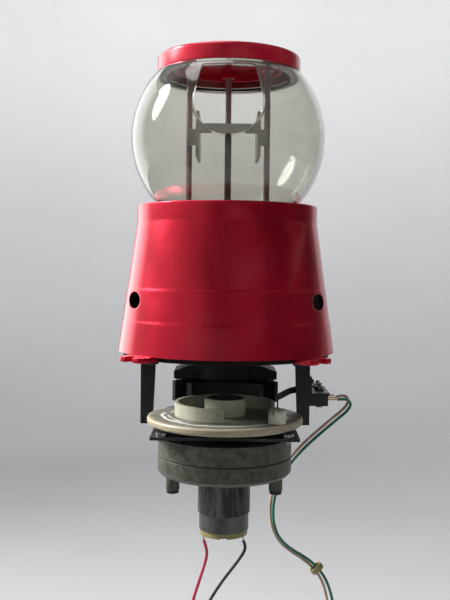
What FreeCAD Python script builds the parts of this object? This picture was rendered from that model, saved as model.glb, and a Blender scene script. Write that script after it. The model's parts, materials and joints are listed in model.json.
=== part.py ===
import FreeCAD, Part
import math
import os

V = FreeCAD.Vector
UP = V(0, 0, 1)

# Motor-driven gumball-style ball dispenser. Millimetres, +Z up, +Y away from the viewer.
# The origin is on the globe's axis, on the panel that the housing tabs stand on.

# Fits and clearances
slide_gap = 0.3          # between pieces that move past each other
run_gap = 0.05           # radial play of a shaft in its bore
pin_gap = 0.02           # radial play of a fixed pin, rod or screw in its hole
rest_gap = 0.2           # between the lid and what it rests on

# Ball
ball_d = 27.0
ball_gap = 0.8           # radial room round the ball in pockets and tubes

# Base plate and housing
plate_t = 2.2
housing_wall = 2.2
housing_foot_r = 52.8
housing_top_r = 43.9
collar_h = 10.3
housing_top_z = 72.3
band_zs = (36.2, 18.6)   # moulded steps round the housing
band_step = 0.35
band_slope = 0.2         # half height of a step
lip_t = 2.0
lip_gap = 2.4            # from the globe's neck to the lip
side_hole_d = 7.8
side_hole_z = 27.0
side_hole_deg = 60.0     # from the front, round the axis
side_hole_cut_deg = 35.0 # direction of the drill, from the front
exit_h = 31.0
tab_t = 2.4
tab_w = 15.0
tab_reach = 8.2          # tab length beyond the foot of the wall
notch_w = 5.6
notch_depth = 4.4
tab_degs = (45.0, 135.0, 225.0, 315.0)
tab_sink = 0.2           # how far the wall reaches into the tabs
boss_r = 4.2
boss_h = 12.0
boss_sink = 0.6          # how far a boss reaches into the wall
boss_skin = 0.3          # wall left outside a boss
boss_floor = 2.0         # boss material above its screw hole
back_boss_deg = 24.0     # behind the side, round the axis

# Globe
globe_r = 47.0
globe_wall = 2.2
neck_show = 0.25         # bottom neck seen above the housing
neck_sink = 4.3          # from the housing's lip down to the funnel
shoulder_w = 0.63        # shoulder beyond the lid
entry_r = 15.3
entry_up = 11.0          # entry's round above the globe's middle
entry_top_up = 28.0
entry_top_half = 11.6
entry_arc_deg = 12.0     # how far the round rises past the middle

# Lid
lid_r = 34.7
lid_h = 7.8
lid_wall = 1.8
lid_round = 1.6
lid_ring_r = 27.0
lid_ring_t = 1.6
lid_ring_h = 4.0
socket_wall = 1.8

# Ball cage
rod_d = 3.0
cage_r = 19.0
rod_foot = 3.5           # rod length below the top of the funnel flange
bracket_t = 1.4
bracket_half = 14.6
bar_drop = 1.6           # cross bar below the globe's middle
bar_h = 4.4
cheek_up = 5.6           # cheek height above the cross bar
cheek_down = 10.0        # and below it
flange_h = 8.0
bracket_gap = 0.5        # bracket to the side rods

# Funnel, posts, shroud
funnel_t = 2.0
funnel_mouth_in = 1.8    # funnel's mouth inside the globe's neck
funnel_cone_h = 16.0
funnel_rim_t = 1.4
post_r = 3.0
post_thread = 6.0
post_degs = (-7.5, -71.0, 187.5, 251.0)
shroud_t = 1.6
shroud_end_y = 8.0       # the shroud stops here on both sides
seat_up = 1.5            # rod seat height above the funnel's slope
seat_floor = 1.0         # and below the rod

# Star-wheel drive
drive_y = -22.5
centres = 44.0           # drive axis to star axis
star_slots = 4
star_top_z = -14.1
star_t = 10.1
pin_d = 8.0
slot_play = 0.15
shaft_d = 8.0
disc_r = 36.3
disc_t = 3.5
disc_top_z = -26.4
disc_round = 1.2
ring_r = 23.6
ring_wall = 1.7
ring_h = 6.4
ring_gap_deg = 98.0
hub_r = 9.6
hub_h = 8.2
pin_rest_deg = -42.0
shank_d = 5.0            # shank of the drive pin in the disc
grub_d = 3.0
grub_sink = 0.4          # below the hub's surface
shaft_sink = 0.2         # output shaft below the hub's top
retainer_r = 7.0
retainer_t = 1.2

# Turret
turret_h = 24.0
turret_r = 24.5
turret_lift = 0.4
tube_lift = 2.0          # funnel tube above the turret

# Bearing block
block_r = 17.8
block_h = 13.8
wing_half = 26.0
wing_h = 6.8
wing_y = 12.0
wing_slope = 3.0
bearing_screw_x = 12.5

# Legs
leg_in = 11.0            # leg's outside face to the housing's foot
leg_w_top = 7.6
leg_w_low = 6.2
leg_t = 1.5
leg_depth = 8.0
leg_foot_in = 14.0
leg_head_in = 8.0
foot_screw_in = 3.0      # screw to the foot's end

# Motor plate
motor_plate_in = 8.8     # plate's side edges to the legs' outside faces
motor_plate_front = 26.0 # from the drive axis to the front edge
motor_plate_back = 32.5
motor_plate_t = 1.4
motor_plate_z = -33.5    # underside
corner_screw_in = (5.2, 3.5)  # from the side and front edges
mount_screw_r = 22.0
mount_degs = (90.0, 210.0, 330.0)

# Gearbox
box_r = 31.2
box_wall = 2.5
box_gap = 1.9            # motor plate to gearbox
cover_h = 8.6
gasket_t = 0.6
gasket_sink = 0.4        # gasket behind the gearbox's side
case_h = 8.4
cover_top_t = 2.0
case_floor = 2.4
case_edge = 1.6
case_boss_r = 3.1
case_boss_drop = 5.8
case_boss_in = 5.25      # boss's middle to the gearbox's side
case_boss_deg = 25.1     # on either side of left and right
bushing_r = 7.0
pad_r = 12.0

# Gear train: three equal stages folded round one axis
gear_module = 0.6
pinion_teeth = 12
wheel_teeth = 36
gear_t = 3.2
gear_gap = 0.4
pressure_deg = 20.0
backlash = 0.08
wheel_addendum = 0.8     # in modules
pinion_addendum = 1.0
dedendum = 1.2
root_step = 0.1
first_idler_deg = 60.0
second_idler_deg = 120.0
idler_pin_d = 2.4
idler_pin_in = 1.2       # depth of the pin's ends in the two halves

# Motor
can_r = 11.6
can_h = 26.6
can_wall = 0.9
can_front = 1.2
flux_h = 18.2
flux_t = 0.6
flux_top_gap = 0.3
flux_seam = 0.8
flux_seam_deg = 292.0
cap_r = 11.2
cap_t = 2.4
cap_plug = 2.0
cap_notch = 1.5          # half size of the two notches in the cap's edge
cap_rim = 0.8            # cap left above a notch
cap_boss_r = 3.6
cap_boss_h = 1.0
motor_shaft_d = 2.0
motor_bush_r = 3.0
motor_bush_h = 4.2
rear_bush_r = 2.2
core_r = 7.4
core_h = 12.0
core_drop = 5.0          # can front face to core
magnet_t = 2.2
magnet_deg = 130.0
magnet_over = 1.0        # magnet beyond the core at each end
pole_deg = 70.0
slot_in_r = 3.4
winding_sink = 0.6       # windings below the poles' faces
comm_r = 2.6
comm_h = 4.0
comm_drop = 3.0          # core to commutator
terminal_x = 9.3
terminal_t = 0.5
terminal_w = 2.4
terminal_out = 3.6
brush_w = 1.6
motor_screw = (7.0, -4.0)

# Switch
switch_depth = 10.2
switch_len = 19.8
switch_t = 6.4
switch_y = 8.4
bracket_top_z = -19.2
switch_bracket_t = 1.2
bracket_up = 8.0
bracket_y = 1.0          # front edge of the bracket
switch_screw_pitch = 9.5
switch_screw_d = 2.2
switch_screw_in = 6.3    # from the plunger's face
small_head_r = 2.0
small_head_h = 1.2
thread_out = 1.5         # thread beyond a nut
small_nut_r = 2.5
small_nut_h = 2.1
plunger_d = 1.6
plunger_out = 0.5
plunger_in = 2.5
plunger_from_pivot = 10.5
pivot_from_end = 2.6
lever_t = 0.5
lever_h = 3.2
lever_gap = 0.25         # lever to plunger tip
pivot_d = 0.9
eye_d = 1.7
ear_half = 1.6           # ear that carries the pivot
ear_t = 1.0
ear_up = 1.6             # its top above the switch's underside
ear_out = 0.6            # its edge beyond the lever
tip_ring_gap = 0.6       # lever finger to the locking ring
finger_len = 4.0
finger_back = 0.8        # finger's near end behind the drive axis
finger_lift = 1.1        # finger above the disc
knee_out = 3.0           # from the plunger to the lever's first bend
riser_w = 4.0
elbow_gap = 2.4          # from the leg to the lever's second bend
arm_lift = 0.5           # arm above the locking ring
blade_out = 5.2
blade_w = 3.2
blade_t = 0.5
blade_in = 1.5
blade_pitch = 7.5

# Fasteners
screw_d = 3.0
head_d = 5.6
head_h = 1.6
nut_h = 1.4
slot_w = 0.9
screw_short = 0.1        # screw end below the far face

# Leads
lead_d = 1.5
plug_w = 7.6
plug_t = 5.0
plug_h = 11.0
plug_round = 0.6
contact_half = 1.0       # square holes in the plug
contact_deep = 6.0
tie_w = 3.0
tie_out = 0.5            # tie beyond the leads
tie_in = 0.3             # and into them

# Levels and places worked out from the sizes above
star_y = drive_y + centres
ball_r = ball_d / 2
pocket_r = ball_r + ball_gap
pocket_at = star_y
lip_z = housing_top_z - lip_t
collar_z = housing_top_z - collar_h
flange_r = housing_top_r - housing_wall - slide_gap
foot_r = flange_r - funnel_rim_t - head_d - 2 * rest_gap
foot_z = lip_z - neck_sink
globe_z = housing_top_z + neck_show + math.sqrt(globe_r ** 2 - foot_r ** 2)
shoulder_z = globe_z + math.sqrt(globe_r ** 2 - (lid_r + shoulder_w) ** 2)
entry_z = globe_z + entry_up
entry_top_z = globe_z + entry_top_up
bar_z = globe_z - bar_drop
funnel_mouth_r = foot_r - globe_wall - funnel_mouth_in
lid_z = shoulder_z + rest_gap
lid_top_z = lid_z + lid_h
lid_under_z = lid_top_z - lid_wall
neck_r = lid_r - lid_wall - slide_gap
neck_top_z = lid_under_z - rest_gap
rod_r = rod_d / 2
front_rod_y = -(foot_r - globe_wall - rod_r - slide_gap)
socket_r = rod_r + socket_wall
rod_top_z = lid_under_z - rest_gap
tube_in_r = ball_r + ball_gap
turret_z = plate_t + turret_lift
turret_top_z = turret_z + turret_h
tube_low_z = turret_top_z + tube_lift
shroud_in_r = pocket_at + ball_r + ball_gap
shaft_r = shaft_d / 2
star_z = star_top_z - star_t
crank_r = centres * math.sin(math.pi / star_slots)
star_r = centres * math.cos(math.pi / star_slots)
pin_r = pin_d / 2
ring_top_z = disc_top_z + ring_h
hub_top_z = disc_top_z + hub_h
disc_z = disc_top_z - disc_t
leg_x = housing_foot_r - leg_in
switch_x = leg_x
motor_plate_half = leg_x - motor_plate_in
motor_plate_top = motor_plate_z + motor_plate_t
box_top_z = motor_plate_z - box_gap
seam_z = box_top_z - cover_h
case_top_z = seam_z - gasket_t
case_z = case_top_z - case_h
floor_z = case_z + case_floor
roof_z = box_top_z - cover_top_t
gear_step = gear_t + gear_gap
gear_zs = [floor_z + gear_gap + gear_step * i for i in range(3)]
mesh_at = gear_module * (pinion_teeth + wheel_teeth) / 2
can_z = case_z - can_h
core_top_z = case_z - core_drop
core_z = core_top_z - core_h
comm_top_z = core_z - comm_drop
magnet_r = can_r - can_wall
cap_z = can_z - cap_t
terminal_z = cap_z - terminal_out
switch_top_z = bracket_top_z - switch_bracket_t
switch_z = switch_top_z - switch_t
switch_mid_z = switch_z + switch_t / 2
ear_top_z = switch_z + ear_up
pivot_y = switch_y + switch_len - pivot_from_end
plunger_y = pivot_y - plunger_from_pivot
lever_x = switch_x - plunger_out - lever_gap - lever_t
arm_z = ring_top_z + arm_lift
arm_top_z = arm_z + lever_h
tip_x = ring_r + tip_ring_gap


def cyl(r, z0, z1, x=0.0, y=0.0):
    return Part.makeCylinder(r, z1 - z0, V(x, y, z0))


def tube(r_out, r_in, z0, z1, x=0.0, y=0.0):
    return cyl(r_out, z0, z1, x, y).cut(cyl(r_in, z0, z1, x, y))


def box(x0, x1, y0, y1, z0, z1):
    return Part.makeBox(x1 - x0, y1 - y0, z1 - z0, V(x0, y0, z0))


def bar_x(r, x0, x1, y, z):
    return Part.makeCylinder(r, x1 - x0, V(x0, y, z), V(1, 0, 0))


def wedge(r, z0, z1, start_deg, span_deg, x=0.0, y=0.0):
    pie = Part.makeCylinder(r, z1 - z0, V(x, y, z0), UP, span_deg)
    pie.rotate(V(x, y, z0), UP, start_deg)
    return pie


def prism(points, z0, z1):
    corners = [V(x, y, z0) for x, y in points]
    face = Part.Face(Part.makePolygon(corners + corners[:1]))
    return face.extrude(V(0, 0, z1 - z0))


def spun(points):
    corners = [V(r, 0, z) for r, z in points]
    face = Part.Face(Part.makePolygon(corners + corners[:1]))
    return face.revolve(V(0, 0, 0), UP, 360)


def round_place(r, deg, x=0.0, y=0.0):
    return x + r * math.cos(math.radians(deg)), y + r * math.sin(math.radians(deg))


def mirrored(shape):
    return shape.mirror(V(0, 0, 0), V(1, 0, 0))


def screw(x, y, seat_z, length, down=True, slotted=False):
    way = -1 if down else 1
    head = cyl(head_d / 2, *sorted((seat_z, seat_z - way * head_h)), x, y)
    if slotted:
        top = seat_z - way * head_h
        head = head.cut(box(x - head_d, x + head_d, y - slot_w / 2, y + slot_w / 2,
                            *sorted((top, top + way * head_h / 2))))
    shank = cyl(screw_d / 2, *sorted((seat_z, seat_z + way * length)), x, y)
    return head.fuse(shank)


def hole(x, y, z0, z1, d=screw_d):
    return cyl(d / 2 + pin_gap, z0, z1, x, y)


def save(name, *shapes):
    solids = [solid for shape in shapes for solid in shape.Solids]
    whole = solids[0] if len(solids) == 1 else Part.makeCompound(solids)
    whole.exportStep("parts/" + name + ".step")


# Lid with its inner ring and three rod sockets
def side_rod_places():
    return [(-cage_r, 0.0), (cage_r, 0.0), (0.0, cage_r)]


def make_lid():
    lid = cyl(lid_r, lid_z, lid_top_z)
    top_edge = [e for e in lid.Edges if e.BoundBox.ZMin > lid_top_z - 0.01 and e.BoundBox.XLength > lid_r]
    lid = lid.makeFillet(min(lid_round, lid_wall * 0.9), top_edge)
    lid = lid.cut(cyl(lid_r - lid_wall, lid_z, lid_under_z))
    ring = tube(lid_ring_r, lid_ring_r - lid_ring_t, lid_under_z - lid_ring_h, lid_under_z)
    lid = lid.fuse(ring)
    for x, y in side_rod_places():
        socket = cyl(socket_r, lid_under_z - lid_ring_h, lid_under_z, x, y)
        bore = cyl(rod_r + run_gap, lid_under_z - lid_ring_h, lid_under_z, x, y)
        lid = lid.fuse(socket).cut(bore)
    return lid.removeSplitter()


# Clear globe: ball of glass-clear plastic with two necks and the ball entry
def globe_side(r, z):
    return math.sqrt(r * r - (z - globe_z) ** 2)


def make_globe():
    inner_r = globe_r - globe_wall
    low_z = globe_z - math.sqrt(globe_r ** 2 - foot_r ** 2)
    step_z = shoulder_z - globe_wall
    foot_in = foot_r - globe_wall
    low_in_z = globe_z - math.sqrt(inner_r ** 2 - foot_in ** 2)
    neck_in = neck_r - globe_wall
    outer = [V(foot_r, 0, foot_z), V(foot_r, 0, low_z), V(globe_side(globe_r, shoulder_z), 0, shoulder_z),
             V(neck_r, 0, shoulder_z), V(neck_r, 0, neck_top_z), V(neck_in, 0, neck_top_z),
             V(neck_in, 0, step_z), V(globe_side(inner_r, step_z), 0, step_z), V(foot_in, 0, low_in_z),
             V(foot_in, 0, foot_z)]
    edges = []
    for i, start in enumerate(outer):
        end = outer[(i + 1) % len(outer)]
        if i == 1:
            edges.append(Part.Arc(start, V(globe_r, 0, globe_z), end).toShape())
        elif i == 7:
            edges.append(Part.Arc(start, V(inner_r, 0, globe_z), end).toShape())
        else:
            edges.append(Part.LineSegment(start, end).toShape())
    globe = Part.Face(Part.Wire(edges)).revolve(V(0, 0, 0), UP, 360)
    return globe.cut(entry_cutter())


def entry_cutter():
    side_x = entry_r * math.cos(math.radians(entry_arc_deg))
    side_z = entry_z + entry_r * math.sin(math.radians(entry_arc_deg))
    y0 = -globe_r - globe_wall
    left = V(-side_x, y0, side_z)
    right = V(side_x, y0, side_z)
    top_right = V(entry_top_half, y0, entry_top_z)
    top_left = V(-entry_top_half, y0, entry_top_z)
    edges = [Part.Arc(left, V(0, y0, entry_z - entry_r), right).toShape(),
             Part.LineSegment(right, top_right).toShape(),
             Part.LineSegment(top_right, top_left).toShape(),
             Part.LineSegment(top_left, left).toShape()]
    return Part.Face(Part.Wire(edges)).extrude(V(0, globe_r, 0))


# Cage rods and the sheet bracket at the ball entry
def rod_places():
    return side_rod_places() + [(0.0, front_rod_y)]


def slope_z(r):
    inside = min(r, funnel_mouth_r)
    return foot_z - (funnel_mouth_r - inside) / (funnel_mouth_r - tube_in_r) * funnel_cone_h


def rod_low_z(x, y):
    return slope_z(math.hypot(x, y)) - rod_foot


def make_rod(x, y, top_z):
    return cyl(rod_r, rod_low_z(x, y), top_z, x, y)


def make_bracket():
    half = bracket_half
    low = bar_z - cheek_down
    high = bar_z + bar_h + cheek_up
    back_y = -rod_r - bracket_gap
    bar = box(-half, half, front_rod_y - bracket_t / 2, front_rod_y + bracket_t / 2, bar_z, bar_z + bar_h)
    bracket = bar
    for side in (-1, 1):
        x0, x1 = sorted((side * half, side * (half - bracket_t)))
        cheek = box(x0, x1, front_rod_y - bracket_t / 2, back_y, low, high)
        f0, f1 = sorted((side * (half - bracket_t), side * cage_r))
        mid = bar_z + bar_h / 2
        flange = box(f0, f1, back_y - bracket_t, back_y, mid - flange_h / 2, mid + flange_h / 2)
        bracket = bracket.fuse(cheek).fuse(flange)
    return bracket.removeSplitter()


# Housing: stepped cone with a lip, four tabs, inner bosses, the ball exit and two side holes
def wall_radius(z):
    share = (collar_z - z) / (collar_z - tab_t)
    return housing_top_r + (housing_foot_r - housing_top_r) * share


def housing_profile(inset):
    points = [(housing_top_r - inset, housing_top_z), (housing_top_r - inset, collar_z)]
    for z in band_zs:
        points.append((wall_radius(z) - band_step / 2 - inset, z + band_slope))
        points.append((wall_radius(z) + band_step / 2 - inset, z - band_slope))
    points.append((housing_foot_r - inset, tab_t - tab_sink))
    return points


def cone_solid(inset, top_z):
    points = housing_profile(inset)
    points[0] = (points[0][0], top_z)
    return spun([(0, top_z)] + points + [(0, tab_t - tab_sink)])


def boss_places():
    ring = housing_foot_r - housing_wall - boss_r + boss_sink
    return [round_place(ring, deg) for deg in (315, 225, back_boss_deg, 180 - back_boss_deg)]


def make_tab(deg):
    inner = housing_foot_r - housing_wall
    outer = housing_foot_r + tab_reach
    tab = box(inner, outer, -tab_w / 2, tab_w / 2, 0, tab_t)
    corners = [e for e in tab.Edges if e.BoundBox.ZLength > tab_t / 2 and e.BoundBox.XMin > inner + 1]
    tab = tab.makeFillet(tab_t, corners)
    notch = box(outer - notch_depth + notch_w / 2, outer + 1, -notch_w / 2, notch_w / 2, 0, tab_t)
    notch = notch.fuse(cyl(notch_w / 2, 0, tab_t, outer - notch_depth + notch_w / 2, 0))
    tab = tab.cut(notch)
    tab.rotate(V(0, 0, 0), UP, deg)
    return tab


def side_hole(side):
    along = math.radians(side_hole_cut_deg)
    at = round_place(wall_radius(side_hole_z), 270 + side * side_hole_deg)
    way = V(side * math.sin(along), -math.cos(along), 0)
    start = V(at[0], at[1], side_hole_z) - way * (housing_wall * 4)
    return Part.makeCylinder(side_hole_d / 2, housing_wall * 8, start, way)


def make_housing():
    shell = cone_solid(0, housing_top_z).cut(cone_solid(housing_wall, lip_z))
    shell = shell.cut(cyl(foot_r + lip_gap, lip_z, housing_top_z))
    outline = cone_solid(boss_skin, housing_top_z)
    for x, y in boss_places():
        boss = cyl(boss_r, plate_t, plate_t + boss_h, x, y).common(outline)
        shell = shell.fuse(boss).cut(hole(x, y, plate_t, plate_t + boss_h - boss_floor))
    for deg in tab_degs:
        shell = shell.fuse(make_tab(deg))
    half = ball_r + 2 * ball_gap
    shell = shell.cut(box(-half, half, housing_top_r / 2, housing_foot_r + 5, plate_t - 1, plate_t + exit_h))
    for side in (-1, 1):
        shell = shell.cut(side_hole(side))
    return shell.removeSplitter()


# Base plate with the bearing seat, and what stands on it
def post_places():
    return [round_place((foot_r + flange_r - funnel_rim_t) / 2, deg) for deg in post_degs]


def bearing_screw_places():
    return [(-bearing_screw_x, star_y), (bearing_screw_x, star_y)]


def leg_screw_x():
    return leg_x - leg_t - leg_head_in / 2


def leg_screw_y():
    return (leg_t + leg_depth) / 2


def make_base_plate():
    plate = cyl(housing_foot_r - housing_wall - slide_gap, 0, plate_t)
    plate = plate.cut(cyl(shaft_r + 1, 0, plate_t, 0, star_y))
    for x, y in boss_places() + post_places():
        plate = plate.cut(hole(x, y, 0, plate_t))
    for x, y in bearing_screw_places():
        plate = plate.cut(hole(x, y, 0, plate_t)).cut(hole(x, y, plate_t - head_h, plate_t, head_d))
    for side in (-1, 1):
        plate = plate.cut(hole(side * leg_screw_x(), leg_screw_y(), 0, plate_t))
    return plate


def make_base_screws():
    into_boss = [screw(x, y, 0, plate_t + boss_h - 2 * boss_floor, down=False) for x, y in boss_places()]
    into_post = [screw(x, y, 0, plate_t + post_thread - 1, down=False) for x, y in post_places()]
    from_funnel = [screw(x, y, foot_z, funnel_t + post_thread - 1) for x, y in post_places()]
    into_block = [screw(x, y, plate_t - head_h, block_h / 2) for x, y in bearing_screw_places()]
    return into_boss + into_post + from_funnel + into_block


def make_funnel():
    low_z = foot_z - funnel_t
    cone_z = low_z - funnel_cone_h
    out_r = tube_in_r + funnel_t
    funnel = spun([(funnel_mouth_r, foot_z), (flange_r, foot_z), (flange_r, low_z), (funnel_mouth_r, low_z),
                   (out_r, cone_z), (out_r, tube_low_z), (tube_in_r, tube_low_z),
                   (tube_in_r, cone_z + funnel_t)])
    rim = tube(flange_r, flange_r - funnel_rim_t, foot_z, lip_z)
    funnel = funnel.fuse(rim)
    for x, y in rod_places():
        top_z = min(foot_z, slope_z(math.hypot(x, y)) + seat_up)
        funnel = funnel.fuse(cyl(rod_r + socket_wall, rod_low_z(x, y) - seat_floor, top_z, x, y))
    funnel = funnel.cut(cyl(tube_in_r, tube_low_z, foot_z))
    for x, y in rod_places():
        funnel = funnel.cut(cyl(rod_r + pin_gap, rod_low_z(x, y), foot_z, x, y))
    for x, y in post_places():
        funnel = funnel.cut(hole(x, y, low_z, foot_z))
    return funnel.removeSplitter()


def make_posts():
    posts = []
    for x, y in post_places():
        post = cyl(post_r, plate_t, foot_z - funnel_t, x, y)
        low = hole(x, y, plate_t, plate_t + post_thread)
        high = hole(x, y, foot_z - funnel_t - post_thread, foot_z - funnel_t)
        posts.append(post.cut(low).cut(high))
    return posts


def make_shroud():
    wall = tube(shroud_in_r + shroud_t, shroud_in_r, plate_t, turret_top_z, 0, star_y)
    far = 2 * housing_foot_r
    return wall.cut(box(-far, far, shroud_end_y, far, plate_t, turret_top_z))


# Turret, its shaft, bearing block and the star wheel under it
def make_turret():
    turret = cyl(turret_r, turret_z, turret_top_z, 0, star_y)
    for i in range(star_slots):
        x, y = round_place(pocket_at, 270 + i * 360 / star_slots, 0, star_y)
        turret = turret.cut(cyl(pocket_r, turret_z, turret_top_z, x, y))
    return turret.cut(cyl(shaft_r, turret_z, turret_top_z, 0, star_y))


def make_bearing_block():
    block = cyl(block_r, -block_h, 0, 0, star_y)
    wing_z = -block_h + wing_h
    y = star_y - wing_y
    wings = Part.makePolygon([V(-wing_half, y, -block_h), V(wing_half, y, -block_h),
                              V(wing_half, y, wing_z - wing_slope), V(block_r, y, wing_z), V(-block_r, y, wing_z),
                              V(-wing_half, y, wing_z - wing_slope), V(-wing_half, y, -block_h)])
    wings = Part.Face(wings).extrude(V(0, 2 * wing_y, 0))
    block = block.fuse(wings).cut(cyl(shaft_r + run_gap, -block_h, 0, 0, star_y))
    for x, y in bearing_screw_places():
        block = block.cut(hole(x, y, -block_h / 2, 0))
    return block.removeSplitter()


def make_star():
    star = cyl(star_r, star_z, star_top_z, 0, star_y)
    step = 360 / star_slots
    for i in range(star_slots):
        x, y = round_place(centres, 270 + i * step, 0, star_y)
        star = star.cut(cyl(ring_r + slide_gap, star_z, star_top_z, x, y))
        slot_half = pin_r + slot_play
        inner = centres - crank_r
        slot = box(inner, star_r + 1, -slot_half, slot_half, star_z, star_top_z)
        slot = slot.fuse(cyl(slot_half, star_z, star_top_z, inner, 0))
        slot.rotate(V(0, 0, 0), UP, 270 + (i + 0.5) * step)
        slot.translate(V(0, star_y, 0))
        star = star.cut(slot)
    return star.cut(cyl(shaft_r, star_z, star_top_z, 0, star_y))


def make_retainer():
    washer = cyl(retainer_r, star_z - retainer_t, star_z, 0, star_y)
    head = cyl(head_d / 2, star_z - retainer_t - head_h, star_z - retainer_t, 0, star_y)
    return washer.fuse(head)


# Drive disc with locking ring and hub, its pin and grub screw
def pin_place():
    return round_place(crank_r, pin_rest_deg, 0, drive_y)


def make_disc():
    disc = cyl(disc_r, disc_z, disc_top_z, 0, drive_y)
    disc = disc.makeFillet(disc_round, [e for e in disc.Edges if e.BoundBox.XLength > disc_r
                                        and e.BoundBox.ZLength < 0.01])
    ring = tube(ring_r, ring_r - ring_wall, disc_top_z, ring_top_z, 0, drive_y)
    gap = wedge(ring_r + 1, disc_top_z, ring_top_z, pin_rest_deg - ring_gap_deg / 2, ring_gap_deg, 0, drive_y)
    disc = disc.fuse(ring.cut(gap)).fuse(cyl(hub_r, disc_top_z, hub_top_z, 0, drive_y))
    disc = disc.cut(cyl(shaft_r, disc_z, hub_top_z, 0, drive_y))
    x, y = pin_place()
    disc = disc.cut(cyl(shank_d / 2, disc_z, disc_top_z, x, y))
    grub_z = (disc_top_z + hub_top_z) / 2
    return disc.cut(bar_x(grub_d / 2, shaft_r, hub_r + 1, drive_y, grub_z)).removeSplitter()


def make_drive_pin():
    x, y = pin_place()
    pin = cyl(pin_r, disc_top_z, ring_top_z, x, y)
    return pin.fuse(cyl(shank_d / 2, disc_z, disc_top_z, x, y)).removeSplitter()


def make_grub():
    return bar_x(grub_d / 2, shaft_r, hub_r - grub_sink, drive_y, (disc_top_z + hub_top_z) / 2)


# Two angle-section legs between the base plate and the motor plate
def foot_screw_x():
    return leg_x - leg_foot_in + foot_screw_in


def make_leg():
    outer = leg_x
    low_z = motor_plate_z - leg_t
    front = Part.makePolygon([V(outer, 0, 0), V(outer - leg_w_top, 0, 0), V(outer - leg_w_low, 0, motor_plate_z),
                              V(outer - leg_w_low, 0, low_z), V(outer, 0, low_z), V(outer, 0, 0)])
    leg = Part.Face(front).extrude(V(0, leg_t, 0))
    side = box(outer - leg_t, outer, 0, leg_depth, low_z, 0)
    foot = box(outer - leg_foot_in, outer, 0, leg_depth, low_z, motor_plate_z)
    head = box(outer - leg_t - leg_head_in, outer, 0, leg_depth, -leg_t, 0)
    leg = leg.fuse(side).fuse(foot).fuse(head)
    leg = leg.cut(hole(leg_screw_x(), leg_screw_y(), -leg_t, 0))
    leg = leg.cut(hole(foot_screw_x(), leg_screw_y(), motor_plate_z - leg_t, motor_plate_z))
    return leg.removeSplitter()


def bracket_screw_place():
    return leg_screw_y(), bracket_top_z + (bracket_up + switch_bracket_t) / 2


def make_right_leg():
    y, z = bracket_screw_place()
    return make_leg().cut(bar_x(switch_screw_d / 2 + pin_gap, leg_x - leg_t, leg_x, y, z))


# Motor plate and gearbox
def mount_places():
    return [round_place(mount_screw_r, deg, 0, drive_y) for deg in mount_degs]


def corner_places():
    x = motor_plate_half - corner_screw_in[0]
    y = drive_y - motor_plate_front + corner_screw_in[1]
    return [(x, y), (-x, y)]


def make_motor_plate():
    half = motor_plate_half
    plate = box(-half, half, drive_y - motor_plate_front, drive_y + motor_plate_back,
                motor_plate_z, motor_plate_top)
    plate = plate.cut(cyl(bushing_r + slide_gap, motor_plate_z, motor_plate_top, 0, drive_y))
    for x, y in mount_places() + corner_places():
        plate = plate.cut(hole(x, y, motor_plate_z, motor_plate_top))
    for side in (-1, 1):
        plate = plate.cut(hole(side * foot_screw_x(), leg_screw_y(), motor_plate_z, motor_plate_top))
    return plate


def make_plate_screws():
    y = leg_screw_y()
    heads = [screw(side * leg_screw_x(), y, -leg_t, leg_t + plate_t, down=False) for side in (-1, 1)]
    feet = [screw(side * foot_screw_x(), y, motor_plate_z - leg_t, leg_t + motor_plate_t, down=False)
            for side in (-1, 1)]
    corners = [screw(x, y, motor_plate_top, motor_plate_t + nut_h, slotted=True) for x, y in corner_places()]
    mounts = [screw(x, y, motor_plate_top, motor_plate_t + box_gap + cover_top_t - rest_gap)
              for x, y in mount_places()]
    return heads + feet + corners + mounts


def case_boss_places():
    degs = (case_boss_deg, -case_boss_deg, 180 - case_boss_deg, 180 + case_boss_deg)
    return [round_place(box_r - case_boss_in, deg, 0, drive_y) for deg in degs]


def idler_places():
    return [round_place(mesh_at, deg, 0, drive_y) for deg in (first_idler_deg, second_idler_deg)]


def make_cover():
    cover = cyl(box_r, seam_z, box_top_z, 0, drive_y).cut(cyl(box_r - box_wall, seam_z, roof_z, 0, drive_y))
    cover = cover.fuse(cyl(pad_r, box_top_z, motor_plate_z, 0, drive_y))
    for x, y in case_boss_places():
        cover = cover.fuse(cyl(case_boss_r, seam_z, roof_z, x, y))
    cover = cover.common(cyl(box_r, seam_z, motor_plate_z, 0, drive_y))
    cover = cover.cut(cyl(bushing_r, roof_z, motor_plate_z, 0, drive_y))
    for x, y in case_boss_places():
        cover = cover.cut(hole(x, y, seam_z, roof_z))
    for x, y in mount_places():
        cover = cover.cut(hole(x, y, roof_z, box_top_z))
    for x, y in idler_places():
        cover = cover.cut(hole(x, y, roof_z, roof_z + idler_pin_in, idler_pin_d))
    return cover.removeSplitter()


def make_gasket():
    gasket = tube(box_r - gasket_sink, box_r - box_wall, case_top_z, seam_z, 0, drive_y)
    for x, y in case_boss_places():
        gasket = gasket.fuse(tube(case_boss_r, screw_d / 2 + pin_gap, case_top_z, seam_z, x, y))
    gasket = gasket.common(cyl(box_r - gasket_sink, case_top_z, seam_z, 0, drive_y))
    for x, y in case_boss_places():
        gasket = gasket.cut(hole(x, y, case_top_z, seam_z))
    return gasket.removeSplitter()


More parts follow.
